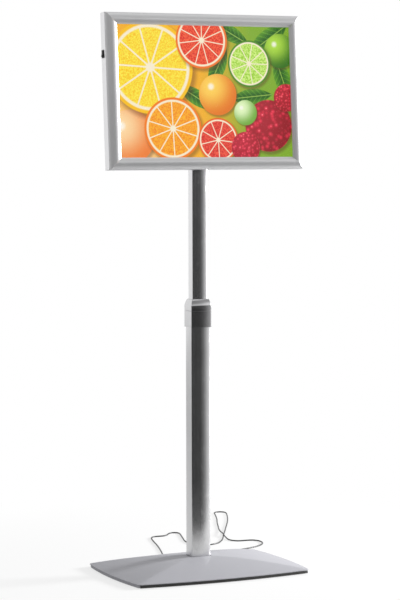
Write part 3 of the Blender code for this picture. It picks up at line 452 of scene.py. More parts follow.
class Finish(Net):
    """A material with one Principled shader, whose fixed values are set on the shader's own sockets."""

    def __init__(self, name, colour, roughness, metallic=0.0, **fixed):
        self.material = bpy.data.materials.new(name)
        self.material.use_nodes = True
        super().__init__(self.material.node_tree)
        self.shader = self.tree.nodes["Principled BSDF"]
        self.set("Base Color", (*colour, 1))
        self.set("Roughness", roughness)
        self.set("Metallic", metallic)
        for socket, value in fixed.items():
            self.set(socket.replace("_", " "), value)
        self.place = self.node("TexCoord", output="Object")

    def set(self, socket, value):
        if isinstance(value, Wire):
            self.tree.links.new(value.socket, self.shader.inputs[socket])
        else:
            self.shader.inputs[socket].default_value = value

    def stretched(self, factors, turn):
        """The object's place, turned around X and stretched along its axes."""
        place = self.node("Mapping", {"vector_type": "POINT"}, {
            "Vector": self.place, "Rotation": (turn, 0, 0)})
        return self.vector("MULTIPLY", place, factors)

    def along(self, direction):
        """How far a point lies along a direction."""
        return self.vector("DOT_PRODUCT", self.place, direction, "Value")

    def noise(self, scale, detail=2.0, factors=None, turn=0.0, shift=0.0):
        place = self.place if factors is None else self.stretched(factors, turn)
        if shift:
            place = self.vector("ADD", place, (shift, shift, shift))
        return self.node("TexNoise", None, {"Vector": place, "Scale": scale, "Detail": detail})

    def blend(self, low, high, share):
        """A colour between two others."""
        ends = [colour if isinstance(colour, Wire) else (*colour, 1) for colour in (low, high)]
        return self.node("Mix", {"data_type": "RGBA"}, {"Factor": share, 6: ends[0], 7: ends[1]}, 2)

    def relief(self, height, distance, strength=1.0):
        self.set("Normal", self.node("Bump", None, {
            "Height": height, "Distance": distance, "Strength": strength}))

    def dress(self, *things):
        """Put this finish on pieces or on solids of the frame."""
        for thing in things:
            thing = bpy.data.objects[thing] if isinstance(thing, str) else thing
            if not thing.material_slots:
                thing.data.materials.append(self.material)
            for slot in thing.material_slots:
                slot.material = self.material


def fit(piece, body, solid, finish):
    """Let a finished piece ride on its body, stand for its solid and wear its finish."""
    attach(piece, body)
    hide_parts(solid)
    finish.dress(piece)


def settle(piece, place, body, solid, finish, angle=35):
    """Put a piece that was made at the origin in its place, smooth it and fit it."""
    place_piece(piece, place)
    smooth(piece, angle)
    fit(piece, body, solid, finish)


print("shader helpers ready")

# %% [markdown]
# ## Anodised aluminium
# Drawn profiles carry faint lines along their length from the die, and the satin etch before anodising
# blurs their reflections. The lines are noise that is stretched along the profile, so each direction needs
# its own stretch. The rails and the casing lean back, so their lines are turned by the same angle.

# %% Aluminium finishes
def grey(level, tint=0.01):
    """A neutral colour with a touch of blue."""
    return level, level, level + tint


def anodised(name, dark, light, roughness, lines, turn=0.0, metallic=1.0):
    """Satin metal with die lines, cloudy etch and a few handling marks."""
    finish = Finish(name, light, roughness, metallic)
    drawn = finish.noise(1, 3, lines, turn)
    cloud = finish.noise(14, 4)
    touch = finish.noise(70, 5, shift=3.0).fade(0.58, 0.72)
    finish.set("Base Color", finish.blend(dark, light, cloud * 0.6 + drawn * 0.4))
    finish.set("Roughness", roughness + (cloud - 0.5) * 0.10 + (drawn - 0.5) * 0.16 + touch * 0.05)
    finish.relief(drawn, 0.00002, 0.6)
    return finish


along_x = (3, 1500, 1500)
along_z = (1500, 1500, 3)
rail_metallic = 0.40
pole_metal = anodised("anodised_drawn_pole", grey(0.70), grey(0.78), 0.20, along_z)
rail_metal_across, rail_metal_up = (
    anodised("anodised_rail_" + way, grey(0.78), grey(0.86), 0.32, lines, rest_tilt, rail_metallic)
    for way, lines in (("across", along_x), ("up", along_z)))
casing_metal, casing_metal_up = (
    anodised("casing_" + way, grey(0.74), grey(0.82), 0.36, lines, rest_tilt)
    for way, lines in (("across", along_x), ("up", along_z)))
print("aluminium finishes ready")

# %% [markdown]
# ## Powder coat, lacquer and moulded plastics
# Powder melts into a skin with a fine, shallow orange peel. Moulded plastic takes the spark-eroded grain of
# its tool, much finer and sharper, and the collar has a silver lacquer over it. All get a slow change of
# tone, because no large surface is even, and a little polish where hands or dust have been.

# %% Coated and moulded finishes
def grained(name, dark, light, roughness, grain_size, grain_depth, metallic=0.0, **fixed):
    """A skin with an even grain, slow clouds and faint rubbed spots."""
    finish = Finish(name, light, roughness, metallic, **fixed)
    grain = finish.noise(1 / grain_size, 2)
    cloud = finish.noise(11, 4)
    rubbed = finish.noise(45, 5, shift=7.0).fade(0.55, 0.75)
    finish.set("Base Color", finish.blend(dark, light, cloud * 0.7 + grain * 0.3))
    finish.set("Roughness", roughness + (grain - 0.5) * 0.10 + (cloud - 0.5) * 0.08 - rubbed * 0.06)
    finish.relief(grain, grain_depth, 0.7)
    return finish


base_coat = grained("powder_coat_silver", grey(0.37, 0.03), grey(0.43, 0.03), 0.48, 0.0011, 0.00006,
                    Specular_IOR_Level=0.15)
collar_lacquer = grained("silver_lacquer", grey(0.60), grey(0.68), 0.16, 0.0004, 0.00002, 1.0)
black_plastic = grained("moulded_black", grey(0.012, 0.001), grey(0.022, 0.001), 0.46, 0.0004, 0.00002)
# near-black finish of the strips that make the dark band under the base's front and rear rim
dark_band_finish = grained("strip_black", grey(0.018, -0.001), grey(0.030, -0.002), 0.38, 0.0006, 0.00002)
switch_plastic = grained("switch_black", grey(0.010, 0.001), grey(0.020, 0.001), 0.30, 0.0003, 0.00001)
pad_rubber = grained("pad_rubber", grey(0.020, 0.0), grey(0.040, -0.002), 0.82, 0.0009, 0.00015)
jacket = grained("lead_jacket", grey(0.010, 0.001), grey(0.020, 0.001), 0.40, 0.0012, 0.00003)
white_enamel = grained("white_enamel", grey(0.74, -0.01), grey(0.82, -0.01), 0.34, 0.0016, 0.00005)
reflector_film = grained("reflector_film", grey(0.82, 0.0), grey(0.88, 0.0), 0.55, 0.0020, 0.00002)
zinc_plate = grained("zinc_plate", (0.50, 0.51, 0.53), (0.64, 0.65, 0.66), 0.32, 0.0022, 0.00003, 1.0)
black_zinc = grained("black_zinc", grey(0.030, 0.002), grey(0.055, 0.003), 0.42, 0.0010, 0.00003, 0.6)
spring_metal = grained("spring_steel", (0.34, 0.33, 0.32), (0.44, 0.43, 0.42), 0.28, 0.0015, 0.00001, 1.0)
brass_metal = grained("brass_pad", (0.52, 0.38, 0.16), (0.66, 0.50, 0.22), 0.30, 0.0008, 0.00002, 1.0)
print("coated and moulded finishes ready")

# %% [markdown]
# ## Sheets of the light box
# From the back forwards: a clear guide that the light travels in, an opal diffuser, the printed film and a
# thin matt cover. The cover is mostly see-through with a low alpha, so that only its soft sheen shows. The
# guide keeps its clearness as transmission. The diffuser glows a little, as it does when the light is on.

# %% Clear and opal finishes
guide_acrylic = Finish("clear_guide", (0.93, 0.97, 0.96), 0.06, IOR=1.49, Transmission_Weight=1.0)
guide_acrylic.relief(guide_acrylic.noise(250, 2), 0.00002, 0.3)
guide_acrylic.set("Roughness", 0.04 + guide_acrylic.noise(30, 4) * 0.08)

opal = Finish("opal_diffuser", grey(0.88, -0.02), 0.5, Emission_Strength=0.5)
opal_cloud = opal.noise(6, 3)
opal.set("Base Color", opal.blend(grey(0.84, -0.01), grey(0.90, -0.01), opal_cloud))
opal.set("Emission Color", opal.blend((0.90, 0.93, 1.0), (1.0, 1.0, 1.0), opal_cloud))
opal.relief(opal.noise(1200, 2), 0.00001, 0.4)

cover_film = Finish("matt_cover", grey(0.80, 0.0), 0.42, Specular_IOR_Level=0.35)
cover_haze = cover_film.noise(8, 4)
cover_film.set("Alpha", 0.012 + cover_haze * 0.016)
cover_film.set("Roughness", 0.36 + cover_haze * 0.12)
cover_film.relief(cover_film.noise(1500, 2), 0.000005, 0.3)

# %% [markdown]
# ## Light strips
# Each strip is a white board with a yellow phosphor chip every fifteen millimetres, where the solid has its
# own chips: the fraction of x over the pitch, folded about its middle, tells how far the nearest chip is.

# %% Light strip finish
chip_pitch = 0.0150
chip_half = 0.00175
strip_board = Finish("light_strip", grey(0.80, -0.02), 0.35)
chip = strip_board.along((1, 0, 0)).apart(chip_pitch).fade(chip_half * 1.05, chip_half * 0.95)
strip_board.set("Base Color", strip_board.blend(grey(0.80, -0.02), (0.85, 0.62, 0.12), chip))
strip_board.set("Roughness", 0.30 + strip_board.noise(300, 2) * 0.15 + chip * 0.2)
strip_board.relief(strip_board.noise(500, 2), 0.00002, 0.5)
print("sheet and strip finishes ready")

# %% [markdown]
# ## The printed film
# The poster shows cut citrus, berries and leaves in warm, bright colours. It is painted from back to front
# like a paper collage: each motif makes a mask and a colour from the distance and the angle to its own
# middle, and is laid over what is there. Two rulers, across and up the sheet, come from dot products with
# the sheet's own axes. The film is lit from behind, so the same picture, deepened by a gamma, feeds a
# dimmed base colour and the emission.

# %% Rulers of the sheet and the painting hand
film = Finish("printed_film", grey(0.8, 0.0), 0.30, Emission_Strength=0.92)
sheet_up = box_place.to_3x3() @ Vector((0, 1, 0))
sheet_middle = centre_place.translation.dot(sheet_up)
across = film.along((1, 0, 0))
up = film.along(sheet_up) - sheet_middle
cream = (0.97, 0.90, 0.74)
shadow_brown = (0.20, 0.08, 0.02)
film_juice = film.noise(330, 3)


class Picture:
    """Paint on the film, laid on from back to front."""

    def __init__(self, ground):
        self.colour = ground

    def cover(self, colour, mask):
        self.colour = film.blend(self.colour, colour, mask)

    def far(self, x, y, radius):
        """Distance from a point, in radii."""
        side = across - x
        rise = up - y
        square = side * side + rise * rise
        return square.math("SQRT", square) / radius

    def shade_under(self, x, y, radius):
        far = self.far(x + radius * 0.06, y - radius * 0.08, radius)
        self.cover(shadow_brown, far.fade(1.10, 0.94) * 0.45)

    def wheel(self, x, y, radius, rind, deep, bright, cells, turn):
        """A cut citrus fruit: rind, pale pith and juicy cells between thin walls."""
        self.shade_under(x, y, radius)
        far = self.far(x, y, radius)
        side = across - x
        angle = side.math("ARCTAN2", up - y, side)
        fold = angle * (cells / 2) + turn
        wall = (fold.math("SINE", fold).size() * far).fade(0.05, 0.13)
        self.cover(rind, far.fade(1.0, 0.985))
        self.cover(cream, far.fade(0.94, 0.90))
        juice = film.blend(deep, bright, film_juice.fade(0.30, 0.66))
        self.cover(juice, far.fade(0.87, 0.83) * wall * far.fade(0.07, 0.12))

    def ball(self, x, y, radius, deep, bright):
        """A whole fruit, lit from the upper left."""
        self.shade_under(x, y, radius)
        light = self.far(x - radius * 0.35, y + radius * 0.38, radius)
        skin = film.blend(deep, bright, light.fade(1.45, 0.15))
        self.cover(skin, self.far(x, y, radius).fade(1.0, 0.985))
        self.cover((1.0, 0.98, 0.94), light.fade(0.24, 0.06) * 0.8)

    def berry(self, x, y, radius, deep, bright):
        """A berry of many small round drops."""
        self.shade_under(x, y, radius)
        drops = film.node("TexVoronoi", None, {"Vector": film.place, "Scale": 5.2 / radius})
        light = self.far(x - radius * 0.30, y + radius * 0.35, radius)
        skin = film.blend(deep, bright, (drops * 1.35).fade(0.85, 0.10) * 0.75 + light.fade(1.5, 0.2) * 0.25)
        mask = self.far(x, y, radius).fade(1.0, 0.97)
        self.cover(skin, mask)
        self.cover((1.0, 0.86, 0.86), drops.fade(0.16, 0.06) * light.fade(0.95, 0.35) * mask * 0.7)

    def leaf(self, x, y, half, width, turn):
        """A pointed leaf with a midrib and side veins."""
        side = across - x
        rise = up - y
        run = side * math.cos(turn) + rise * math.sin(turn)
        off = (rise * math.cos(turn) - side * math.sin(turn)).size()
        edge = (1 - run * run / half ** 2) * width
        vein = (run + off * 0.9) * (math.pi * 9 / half)
        ribs = vein.math("SINE", vein).fade(0.55, 0.95) * 0.35
        tone = film.blend((0.06, 0.24, 0.02), (0.30, 0.58, 0.08), (off / width).fade(0.1, 1.0) * 0.6 + ribs)
        self.cover(tone, (edge - off).fade(0.0, 0.0008))
        self.cover((0.55, 0.74, 0.22), off.fade(0.0012, 0.0005) * (edge - off).fade(0.0, 0.002) * 0.8)


from_left = (across + film.noise(14, 3) * 0.05).fade(0.0, 0.15)
ground = film.blend((0.95, 0.58, 0.06), (0.36, 0.56, 0.07), from_left)
picture = Picture(film.blend(ground, (0.98, 0.78, 0.58), (across + up * 0.8).fade(-0.16, -0.30)))
print("sheet rulers ready, middle at", round(sheet_middle, 4))

# %% Paint the picture
for leaf in ((0.150, 0.112, 0.058, 0.021, 0.6), (0.182, 0.030, 0.050, 0.019, 1.9),
             (0.062, 0.124, 0.050, 0.017, -0.5), (0.030, 0.052, 0.048, 0.018, 1.1),
             (-0.022, -0.012, 0.052, 0.017, 2.6), (0.108, -0.010, 0.050, 0.017, 0.1)):
    picture.leaf(*leaf)
picture.ball(-0.176, -0.094, 0.056, (0.92, 0.36, 0.10), (1.0, 0.78, 0.50))
picture.wheel(-0.126, 0.050, 0.098, (0.98, 0.66, 0.01), (0.97, 0.66, 0.01), (1.0, 0.90, 0.16), 10, 0.3)
picture.wheel(-0.006, 0.108, 0.060, (0.93, 0.30, 0.03), (0.78, 0.05, 0.03), (0.96, 0.25, 0.12), 11, 0.9)
picture.ball(0.178, 0.088, 0.037, (0.10, 0.30, 0.02), (0.56, 0.80, 0.14))
picture.wheel(0.104, 0.060, 0.050, (0.16, 0.40, 0.02), (0.42, 0.70, 0.05), (0.78, 0.95, 0.40), 9, 0.1)
picture.ball(0.028, -0.006, 0.044, (0.86, 0.32, 0.03), (1.0, 0.74, 0.20))
picture.wheel(-0.078, -0.078, 0.066, (0.94, 0.34, 0.01), (0.93, 0.36, 0.01), (1.0, 0.62, 0.06), 10, 1.4)
picture.wheel(0.026, -0.102, 0.047, (0.90, 0.24, 0.03), (0.72, 0.04, 0.04), (0.93, 0.22, 0.14), 9, 0.6)
picture.berry(0.146, -0.072, 0.056, (0.42, 0.01, 0.04), (0.92, 0.10, 0.18))
picture.berry(0.090, -0.118, 0.034, (0.50, 0.01, 0.05), (0.96, 0.16, 0.24))
picture.ball(0.092, -0.044, 0.027, (0.30, 0.56, 0.12), (0.84, 0.96, 0.66))
picture.berry(0.190, -0.012, 0.030, (0.46, 0.01, 0.04), (0.94, 0.14, 0.20))
ink = film.node("Gamma", None, {"Color": picture.colour, "Gamma": 1.5})
film.set("Emission Color", ink)
film.set("Base Color", film.blend((0, 0, 0), ink, 0.10))
film.set("Roughness", 0.26 + film.noise(40, 3) * 0.10)
film.relief(film.noise(900, 2), 0.000005, 0.3)
print("picture painted with", len(film.tree.nodes), "nodes")

# %% [markdown]
# ## Drawn tubes with bowed faces
# Both poles are aluminium extrusions: the narrow sides are flat, the broad front and back faces bulge a
# little. A cube's upright edges are rounded, its broad faces are divided into strips, and each row of
# points is moved out by its share of the bow. The ends are opened and Solidify gives the wall.

# %% Bowed block
bow_rows = 24


def add_bowed_block(name, half_x, half_y, bow_y, low, high, corner, bow_x=0.0):
    """A block whose broad faces bulge outwards, with rounded upright edges."""
    block = add_block(name, (-half_x, -half_y, low), (half_x, half_y, high))
    pick(block, "EDGE", lambda edge: runs_along(edge, 2))
    bpy.ops.mesh.bevel(offset=corner, segments=3, affect="EDGES", clamp_overlap=True)
    for axis, half, side, bow in ((0, half_x, half_y, bow_y), (1, half_y, half_x, bow_x)):
        if not bow:
            continue
        other = 1 - axis
        outward = (axis, other, 0)
        pick(block, "EDGE",
             lambda edge: runs_along(edge, axis) and abs(abs(middle(edge)[other]) - side) < near)
        bpy.ops.mesh.subdivide(number_cuts=bow_rows)
        for way in (-1, 1):
            push_rows(block, axis, lambda point: abs(point.co[other] - way * side) < near,
                      lambda row: [way * bow * (1 - (row / half) ** 2) * part for part in outward])
    leave()
    return block


# %% The two poles
pole_corner = 0.0010
lower_half_x = 0.0222
lower_half_y = 0.0141
lower_bow = 0.0045
lower_wall = 0.0016
upper_half_x = 0.0176
upper_half_y = 0.0106
upper_bow = 0.0035
upper_wall = 0.0015
gap = 0.0003


def add_pole(name, node, half_x, half_y, bow, wall, body):
    low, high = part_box(node)
    tube = add_bowed_block(name, half_x, half_y, bow, low[2], high[2], pole_corner)
    pick(tube, "FACE", lambda face: looks_up(face) or looks_down(face))
    bpy.ops.mesh.delete(type="FACE")
    leave()
    use(tube, "SOLIDIFY", thickness=wall, offset=-1)
    smooth(tube)
    fit(tube, body, node, pole_metal)
    return tube


lower_pole = add_pole("pole_lower", "lower_tube", lower_half_x, lower_half_y, lower_bow, lower_wall, "stand")
upper_pole = add_pole("pole_upper", "upper_tube", upper_half_x, upper_half_y, upper_bow, upper_wall,
                      "upper_pole")
print("poles", [len(tube.data.polygons) for tube in (lower_pole, upper_pole)])

# %% [markdown]
# ## The pressed base
# The base cover is one sheet, pressed into a low pyramid with slightly hollow slopes and a turned-down
# skirt. The block's top face is pulled up and drawn in again and again, so that the four slopes keep their
# hips, and the last face is opened for the pole. The underside is removed and Solidify makes it a sheet.

# %% Base cover
base_half_x = 0.1985
base_half_y = 0.1345
base_front_bow = 0.0150
base_side_bow = 0.0100
base_corner = 0.0060
base_sheet = 0.0012
skirt_inset = 0.0018
skirt_low = 0.0017
rim_low = 0.0079
rim_high = 0.0094
peak = 0.0340
slope_power = 1.6
slope_rings = 12
ring_spread = 1.3

base = add_bowed_block("base_shell", base_half_x, base_half_y, base_front_bow, rim_low, rim_high,
                       base_corner, base_side_bow)
inner_x = lower_half_x + gap
inner_y = lower_half_y + lower_bow + gap
outer_y = base_half_y + base_front_bow
pick(base, "FACE", looks_up)
last = (base_half_x, outer_y, rim_high)
for ring in range(1, slope_rings + 1):
    share = 1 - (1 - ring / slope_rings) ** ring_spread
    last = step_up(last, between(base_half_x, inner_x, share), between(outer_y, inner_y, share),
                   between(rim_high, peak, 1 - (1 - share) ** slope_power))
bpy.ops.mesh.delete(type="FACE")
pick(base, "FACE", looks_down)
last = step_up((base_half_x, outer_y, rim_low), base_half_x - skirt_inset, outer_y - skirt_inset, rim_low)
step_up(last, last[0], last[1], skirt_low)
bpy.ops.mesh.delete(type="FACE")
bpy.ops.mesh.select_all(action="SELECT")
bpy.ops.mesh.normals_make_consistent(inside=False)
leave()
use(base, "SOLIDIFY", thickness=base_sheet, offset=-1)
smooth(base, 50)
fit(base, "stand", "base_cover", base_coat)
print("base cover", len(base.data.polygons), "faces")

# %% [markdown]
# ## Collar
# The lacquered collar grips the lower pole and carries the clamp knob behind. Above a fine parting line
# sits a domed cap that closes the step to the thinner pole. Both are bowed blocks with the pole's own form
# cut out, and the cap's shoulder is pulled up ring by ring like the base.

# %% Collar body and cap
collar_half_x = 0.0240
collar_half_y = 0.0186
collar_bow = 0.0032
collar_corner = 0.0020
collar_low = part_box("collar_body")[0][2]
collar_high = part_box("collar_body")[1][2]
cap_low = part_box("collar_cap")[0][2]
cap_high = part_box("collar_cap")[1][2]
lock_height = 0.545
dome_start = 0.0110
dome_rings = 8
dome_slope = 1.15
cap_land = 0.0006
overrun = 0.004

collar = add_bowed_block("collar_grip", collar_half_x, collar_half_y, collar_bow, collar_low, collar_high,
                         collar_corner)
cut(collar, add_bowed_block("collar_bore", lower_half_x + gap, lower_half_y + gap, lower_bow,
                            collar_low - overrun, collar_high + overrun, pole_corner))
stud_hole = add_rod("stud_hole", 0.0034, 0, 0.03, 32)
place_piece(stud_hole, moved(0, 0, lock_height) @ lie_along((0, 1, 0)))
cut(collar, stud_hole)
soften(collar, 0.0007, 2, 50)

cap = add_bowed_block("collar_dome", collar_half_x, collar_half_y, collar_bow, cap_low, cap_low + dome_start,
                      collar_corner)
pick(cap, "FACE", looks_up)
rim = last = (collar_half_x, collar_half_y + collar_bow, cap_low + dome_start)
for ring in range(1, dome_rings + 1):
    share = (ring / dome_rings) ** dome_slope
    last = step_up(last, between(rim[0], upper_half_x + cap_land, share),
                   between(rim[1], upper_half_y + upper_bow + cap_land, share),
                   between(rim[2], cap_high, math.sin(quarter * ring / dome_rings)))
leave()
cut(cap, add_bowed_block("cap_bore", upper_half_x + gap, upper_half_y + gap, upper_bow, cap_low - overrun,
                         cap_high + overrun, pole_corner))
soften(cap, 0.0004, 2, 60)
for piece, node in ((collar, "collar_body"), (cap, "collar_cap")):
    smooth(piece)
    use(piece, "WEIGHTED_NORMAL", keep_sharp=True)
    fit(piece, "stand", node, collar_lacquer)
print("collar", round(collar_low, 4), "to", round(cap_high, 4))

# %% [markdown]
# ## Snap rails
# Each rail is a crowned aluminium profile that swings on a round bead at its outer edge and presses the
# sheet with a thin lip at its inner edge. One edge is spun around the crown's centre, the inner end of the
# arc is pulled down to the lip, Solidify gives the wall, a round rod is joined on as the bead, and two
# slanted cuts make the mitres.

# %% Rail profile
rail_width = 0.025
rail_wall = 0.0013
rail_steps = 18
bead_radius = 0.0009
bead_forward = 0.0227
lip_back = 0.02475
lip_front = 0.02695
crown_sagitta = 0.0060
crown_start = Vector((0, bead_forward))
crown_end = Vector((rail_width, lip_front))
crown_chord = crown_end - crown_start
crown_radius = (crown_chord.length ** 2 / 4 + crown_sagitta ** 2) / (2 * crown_sagitta)
crown_across = Vector((-crown_chord.y, crown_chord.x)).normalized()
crown_centre = (crown_start + crown_end) / 2 + crown_across * (crown_sagitta - crown_radius)
crown_sweep = 2 * math.asin(crown_chord.length / 2 / crown_radius)


def add_rail(name, length):
    """A rail in its side's own axes: a spun crown with a lip and a bead, mitred at both ends."""
    half = length / 2
    rail = add_block(name, (-half, 0, 0), (half, 1, 1))
    pick(rail, "VERT", lambda point: point.co.y > near or point.co.z > near)
    bpy.ops.mesh.delete(type="VERT")
    bpy.ops.mesh.select_all(action="SELECT")
    bpy.ops.transform.translate(value=(0, crown_start.x, crown_start.y))
    bpy.ops.mesh.spin(steps=rail_steps, angle=crown_sweep, center=(0, *crown_centre), axis=(1, 0, 0))
    pick(rail, "VERT", lambda point: abs(point.co.y - crown_end.x) < near
         and point.co.z < crown_end.y + near)
    bpy.ops.mesh.select_mode(type="EDGE")
    bpy.ops.mesh.extrude_region_move(TRANSFORM_OT_translate={"value": (0, 0, lip_back - lip_front)})
    bpy.ops.mesh.select_all(action="SELECT")
    bpy.ops.mesh.remove_doubles(threshold=near)
    bpy.ops.mesh.normals_make_consistent(inside=False)
    leave()
    if max(rail.data.polygons, key=lambda face: face.center.z).normal.z < 0:
        pick(rail, "FACE", anywhere)
        bpy.ops.mesh.flip_normals()
        leave()
    use(rail, "SOLIDIFY", thickness=rail_wall, offset=-1, use_even_offset=True)
    bead = add_rod("bead", bead_radius, -half, half, 20)
    place_piece(bead, moved(0, bead_radius, bead_forward) @ lie_along((1, 0, 0)))
    cut(rail, bead, "UNION")
    for end in (-1, 1):
        pick(rail, "FACE", anywhere)
        bpy.ops.mesh.bisect(plane_co=(end * (half - gap), 0, 0), plane_no=(end, 1, 0), use_fill=True,
                            clear_outer=True)
        leave()
        square = end * (half - 2 * bead_radius)
        cut(rail, add_block("bead_end", (min(square, 2 * square), -bead_radius, lip_back - overrun),
                            (max(square, 2 * square), 2 * bead_radius, lip_back - bead_radius)))
    soften(rail, 0.0002, 2, 50)
    return rail


# %% Four rails
long_rail = add_rail("rail_pattern_long", frame_width)
short_rail = add_rail("rail_pattern_short", frame_height)
rails = {}
for side, pattern, metal in (("bottom", long_rail, rail_metal_across), ("top", long_rail, rail_metal_across),
                             ("left", short_rail, rail_metal_up), ("right", short_rail, rail_metal_up)):
    rails[side] = copy_of(pattern, "rail_" + side + "_crown", side_place(side))
    smooth(rails[side], 25)
    fit(rails[side], "rail_" + side, "snap_rail_" + side, metal)
for pattern in (long_rail, short_rail):
    bpy.data.objects.remove(pattern, do_unlink=True)
print("rails", {side: len(rail.data.polygons) for side, rail in rails.items()})

# %% [markdown]
# ## Black strips
# A thin near-black strip lines the front and the rear of the base under the rim and makes the dark band
# there. It is a thin bar, divided along its length, with each row pushed out to follow the bow of the
# cover's edge.

# %% Edge strips
strip_half = 0.1950
strip_wall = 0.0015
strip_top = 0.0076
strip_rows = 32

front_strip = add_block("strip_front", (-strip_half, -base_half_y, skirt_low),
                        (strip_half, strip_wall - base_half_y, strip_top))
pick(front_strip, "EDGE", lambda edge: runs_along(edge, 0))
bpy.ops.mesh.subdivide(number_cuts=strip_rows)
push_rows(front_strip, 0, anywhere, lambda row: (0, -base_front_bow * (1 - (row / base_half_x) ** 2), 0))
leave()
soften(front_strip, 0.0004, 2, 60)
smooth(front_strip, 50)
rear_strip = copy_of(front_strip, "strip_rear", turned(math.pi, "Z"))
for strip, node in ((front_strip, "edge_strip_front"), (rear_strip, "edge_strip_rear")):
    fit(strip, "stand", node, dark_band_finish)
print("strips", len(front_strip.data.polygons), len(rear_strip.data.polygons))

# %% [markdown]
# ## Round moulded pieces
# The gland in the rear skirt, the grommet in the pole, the plug, its socket and the in-line connector on
# the lead's end are all turned forms: a flange, a barrel and a tapering relief. Each is pulled up from a
# disc through pairs of radius and height. Shallow grooves round the barrels give the fingers a hold, and
# bores are left open where a lead or a plug goes in.

# %% Gland, grommet, socket, plug and connector
gland_height = 0.0042
grommet_height = 0.9150
connector_radius = 0.0048
connector_x = 0.1177
socket_place = box_place @ moved(0.055, centre_above_pivot - 0.085, pivot_to_back)


def grooved(profile, start, end, radius, count, depth):
    """Add shallow grooves to a barrel's profile."""
    pitch = (end - start) / count
    for number in range(count):
        low = start + pitch * number
        for share, inset in ((0.30, 0), (0.40, depth), (0.60, depth), (0.70, 0)):
            profile.append((radius - inset, low + pitch * share))
    return profile


def settle_black(piece, place, body, solid):
    settle(piece, place, body, solid, black_plastic)


gland = add_turned("gland_relief", grooved([
    (0.0025, 0.1447), (0.0025, 0.1459), (0.0019, 0.1459), (0.0019, 0.1480), (0.0021, 0.1480),
    (0.0022, 0.1482), (0.0022, 0.1495), (0.0021, 0.1498)], 0.1498, 0.1584, 0.0020, 4, 0.0002)
    + [(0.0018, 0.1588), (0.0017, 0.1590)])
settle_black(gland, moved(0, 0, gland_height) @ lie_along((0, 1, 0)), "stand", "cord_gland")

grommet = add_turned("grommet_ring", [
    (0.0034, 0.0158), (0.0034, 0.0181), (0.0050, 0.0181), (0.0052, 0.0183), (0.0052, 0.0188),
    (0.0048, 0.0192), (0.0032, 0.0193), (0.0022, 0.0192)])
settle_black(grommet, moved(0, 0, grommet_height) @ lie_along((1, 0, 0)), "upper_pole", "lead_grommet")

socket = add_turned("socket_body", [
    (0.0058, 0.0003), (0.0060, 0.0005), (0.0060, 0.0012), (0.0037, 0.0012), (0.0037, 0.0130),
    (0.0035, 0.0132)])
cut(socket, add_rod("socket_mouth", 0.0029, -0.004, 0.0115))
soften(socket, 0.0001, 1, 60)
settle_black(socket, socket_place, "light_box", "dc_socket")

plug = add_turned("plug_body", grooved([
    (0.0018, -0.0230), (0.0024, -0.0205), (0.0030, -0.0160), (0.0042, -0.0158), (0.0046, -0.0152)],
    -0.0150, -0.0040, 0.0046, 6, 0.0003)
    + [(0.0046, -0.0004), (0.0043, 0.0), (0.0025, 0.0), (0.0025, 0.0080), (0.0022, 0.0085)])
settle_black(plug, socket_place, "light_box", "dc_plug")

connector = add_turned("connector_body", grooved(
    [(0.0046, -0.0420), (0.0048, -0.0418)], -0.0400, -0.0200, connector_radius, 7, 0.0003)
    + [(0.0048, -0.0128), (0.0044, -0.0121), (0.0029, -0.0119)]
    + grooved([], -0.0115, -0.0020, 0.0024, 4, 0.0004) + [(0.0019, -0.0004), (0.0018, 0.0)])
cut(connector, add_rod("connector_bore", 0.0028, -0.046, -0.031))
soften(connector, 0.0001, 1, 60)
settle_black(connector, moved(connector_x, lead_end[1], connector_radius) @ lie_along((1, 0, 0)), "stand",
             "lead_connector")
print("turned pieces", [len(piece.data.polygons) for piece in (gland, grommet, socket, plug, connector)])

# %% [markdown]
# ## Knobs
# Both clamp knobs are six-lobed: a turned form gets six shallow scallops for the fingers, cut by round
# bars, a dish in its end and a round edge. A short neck stands towards the pole.

# %% Scalloped knobs
lobes = 6
scallop_radius = 0.42
scallop_reach = 1.30
neck_radius = 0.0060
neck = 0.0030
knob_bore = 0.0033
bore_stop = 0.006


def add_knob(name, radius, start, end):
    knob = add_turned(name, [
        (radius - 0.0012, start + neck), (radius, start + neck + 0.0012), (radius, end - 0.0016),
        (radius - 0.0005, end - 0.0006), (radius - 0.0018, end)], 96)
    for number in range(lobes):
        angle = math.tau / lobes * number
        bar = add_rod("finger_bar", radius * scallop_radius, start, end + overrun, 40)
        away = radius * scallop_reach
        place_piece(bar, moved(away * math.cos(angle), away * math.sin(angle), 0))
        cut(knob, bar)
    cut(knob, add_rod("knob_neck", neck_radius, start, start + neck + 0.0005), "UNION")
    cut(knob, add_rod("knob_bore", knob_bore, start - overrun, end - bore_stop, 32))
    cut(knob, add_turned("knob_dish", [(radius * 0.50, end - 0.0005), (radius * 0.55, end + overrun)], 64))
    soften(knob, 0.0004, 2, 40)
    return knob


lock_knob = add_knob("knob_height_clamp", 0.0105, 0.0221, 0.0421)
settle_black(lock_knob, moved(0, 0, lock_height) @ lie_along((0, 1, 0)), "lock", "lock_knob")
tilt_knob = add_knob("knob_tilt_clamp", 0.0130, 0.0204, 0.0434)
settle_black(tilt_knob, moved(*pivot) @ lie_along((1, 0, 0)), "tilt_handle", "tilt_knob")
print("knobs", len(lock_knob.data.polygons), len(tilt_knob.data.polygons))

# %% [markdown]
# ## Screws and the tilt bolt
# Four pan-head screws hold the tilt bracket to the back of the light box and one holds the pole in its
# foot. Two bars cut their cross recess. The tilt bolt has a low round head with a hexagon recess.

# %% Screws and bolt
screw_turn = 1.1
cross_turn = math.radians(20)
head_seat = 0.0011
bracket_half_x = 0.031
bracket_half_y = 0.022


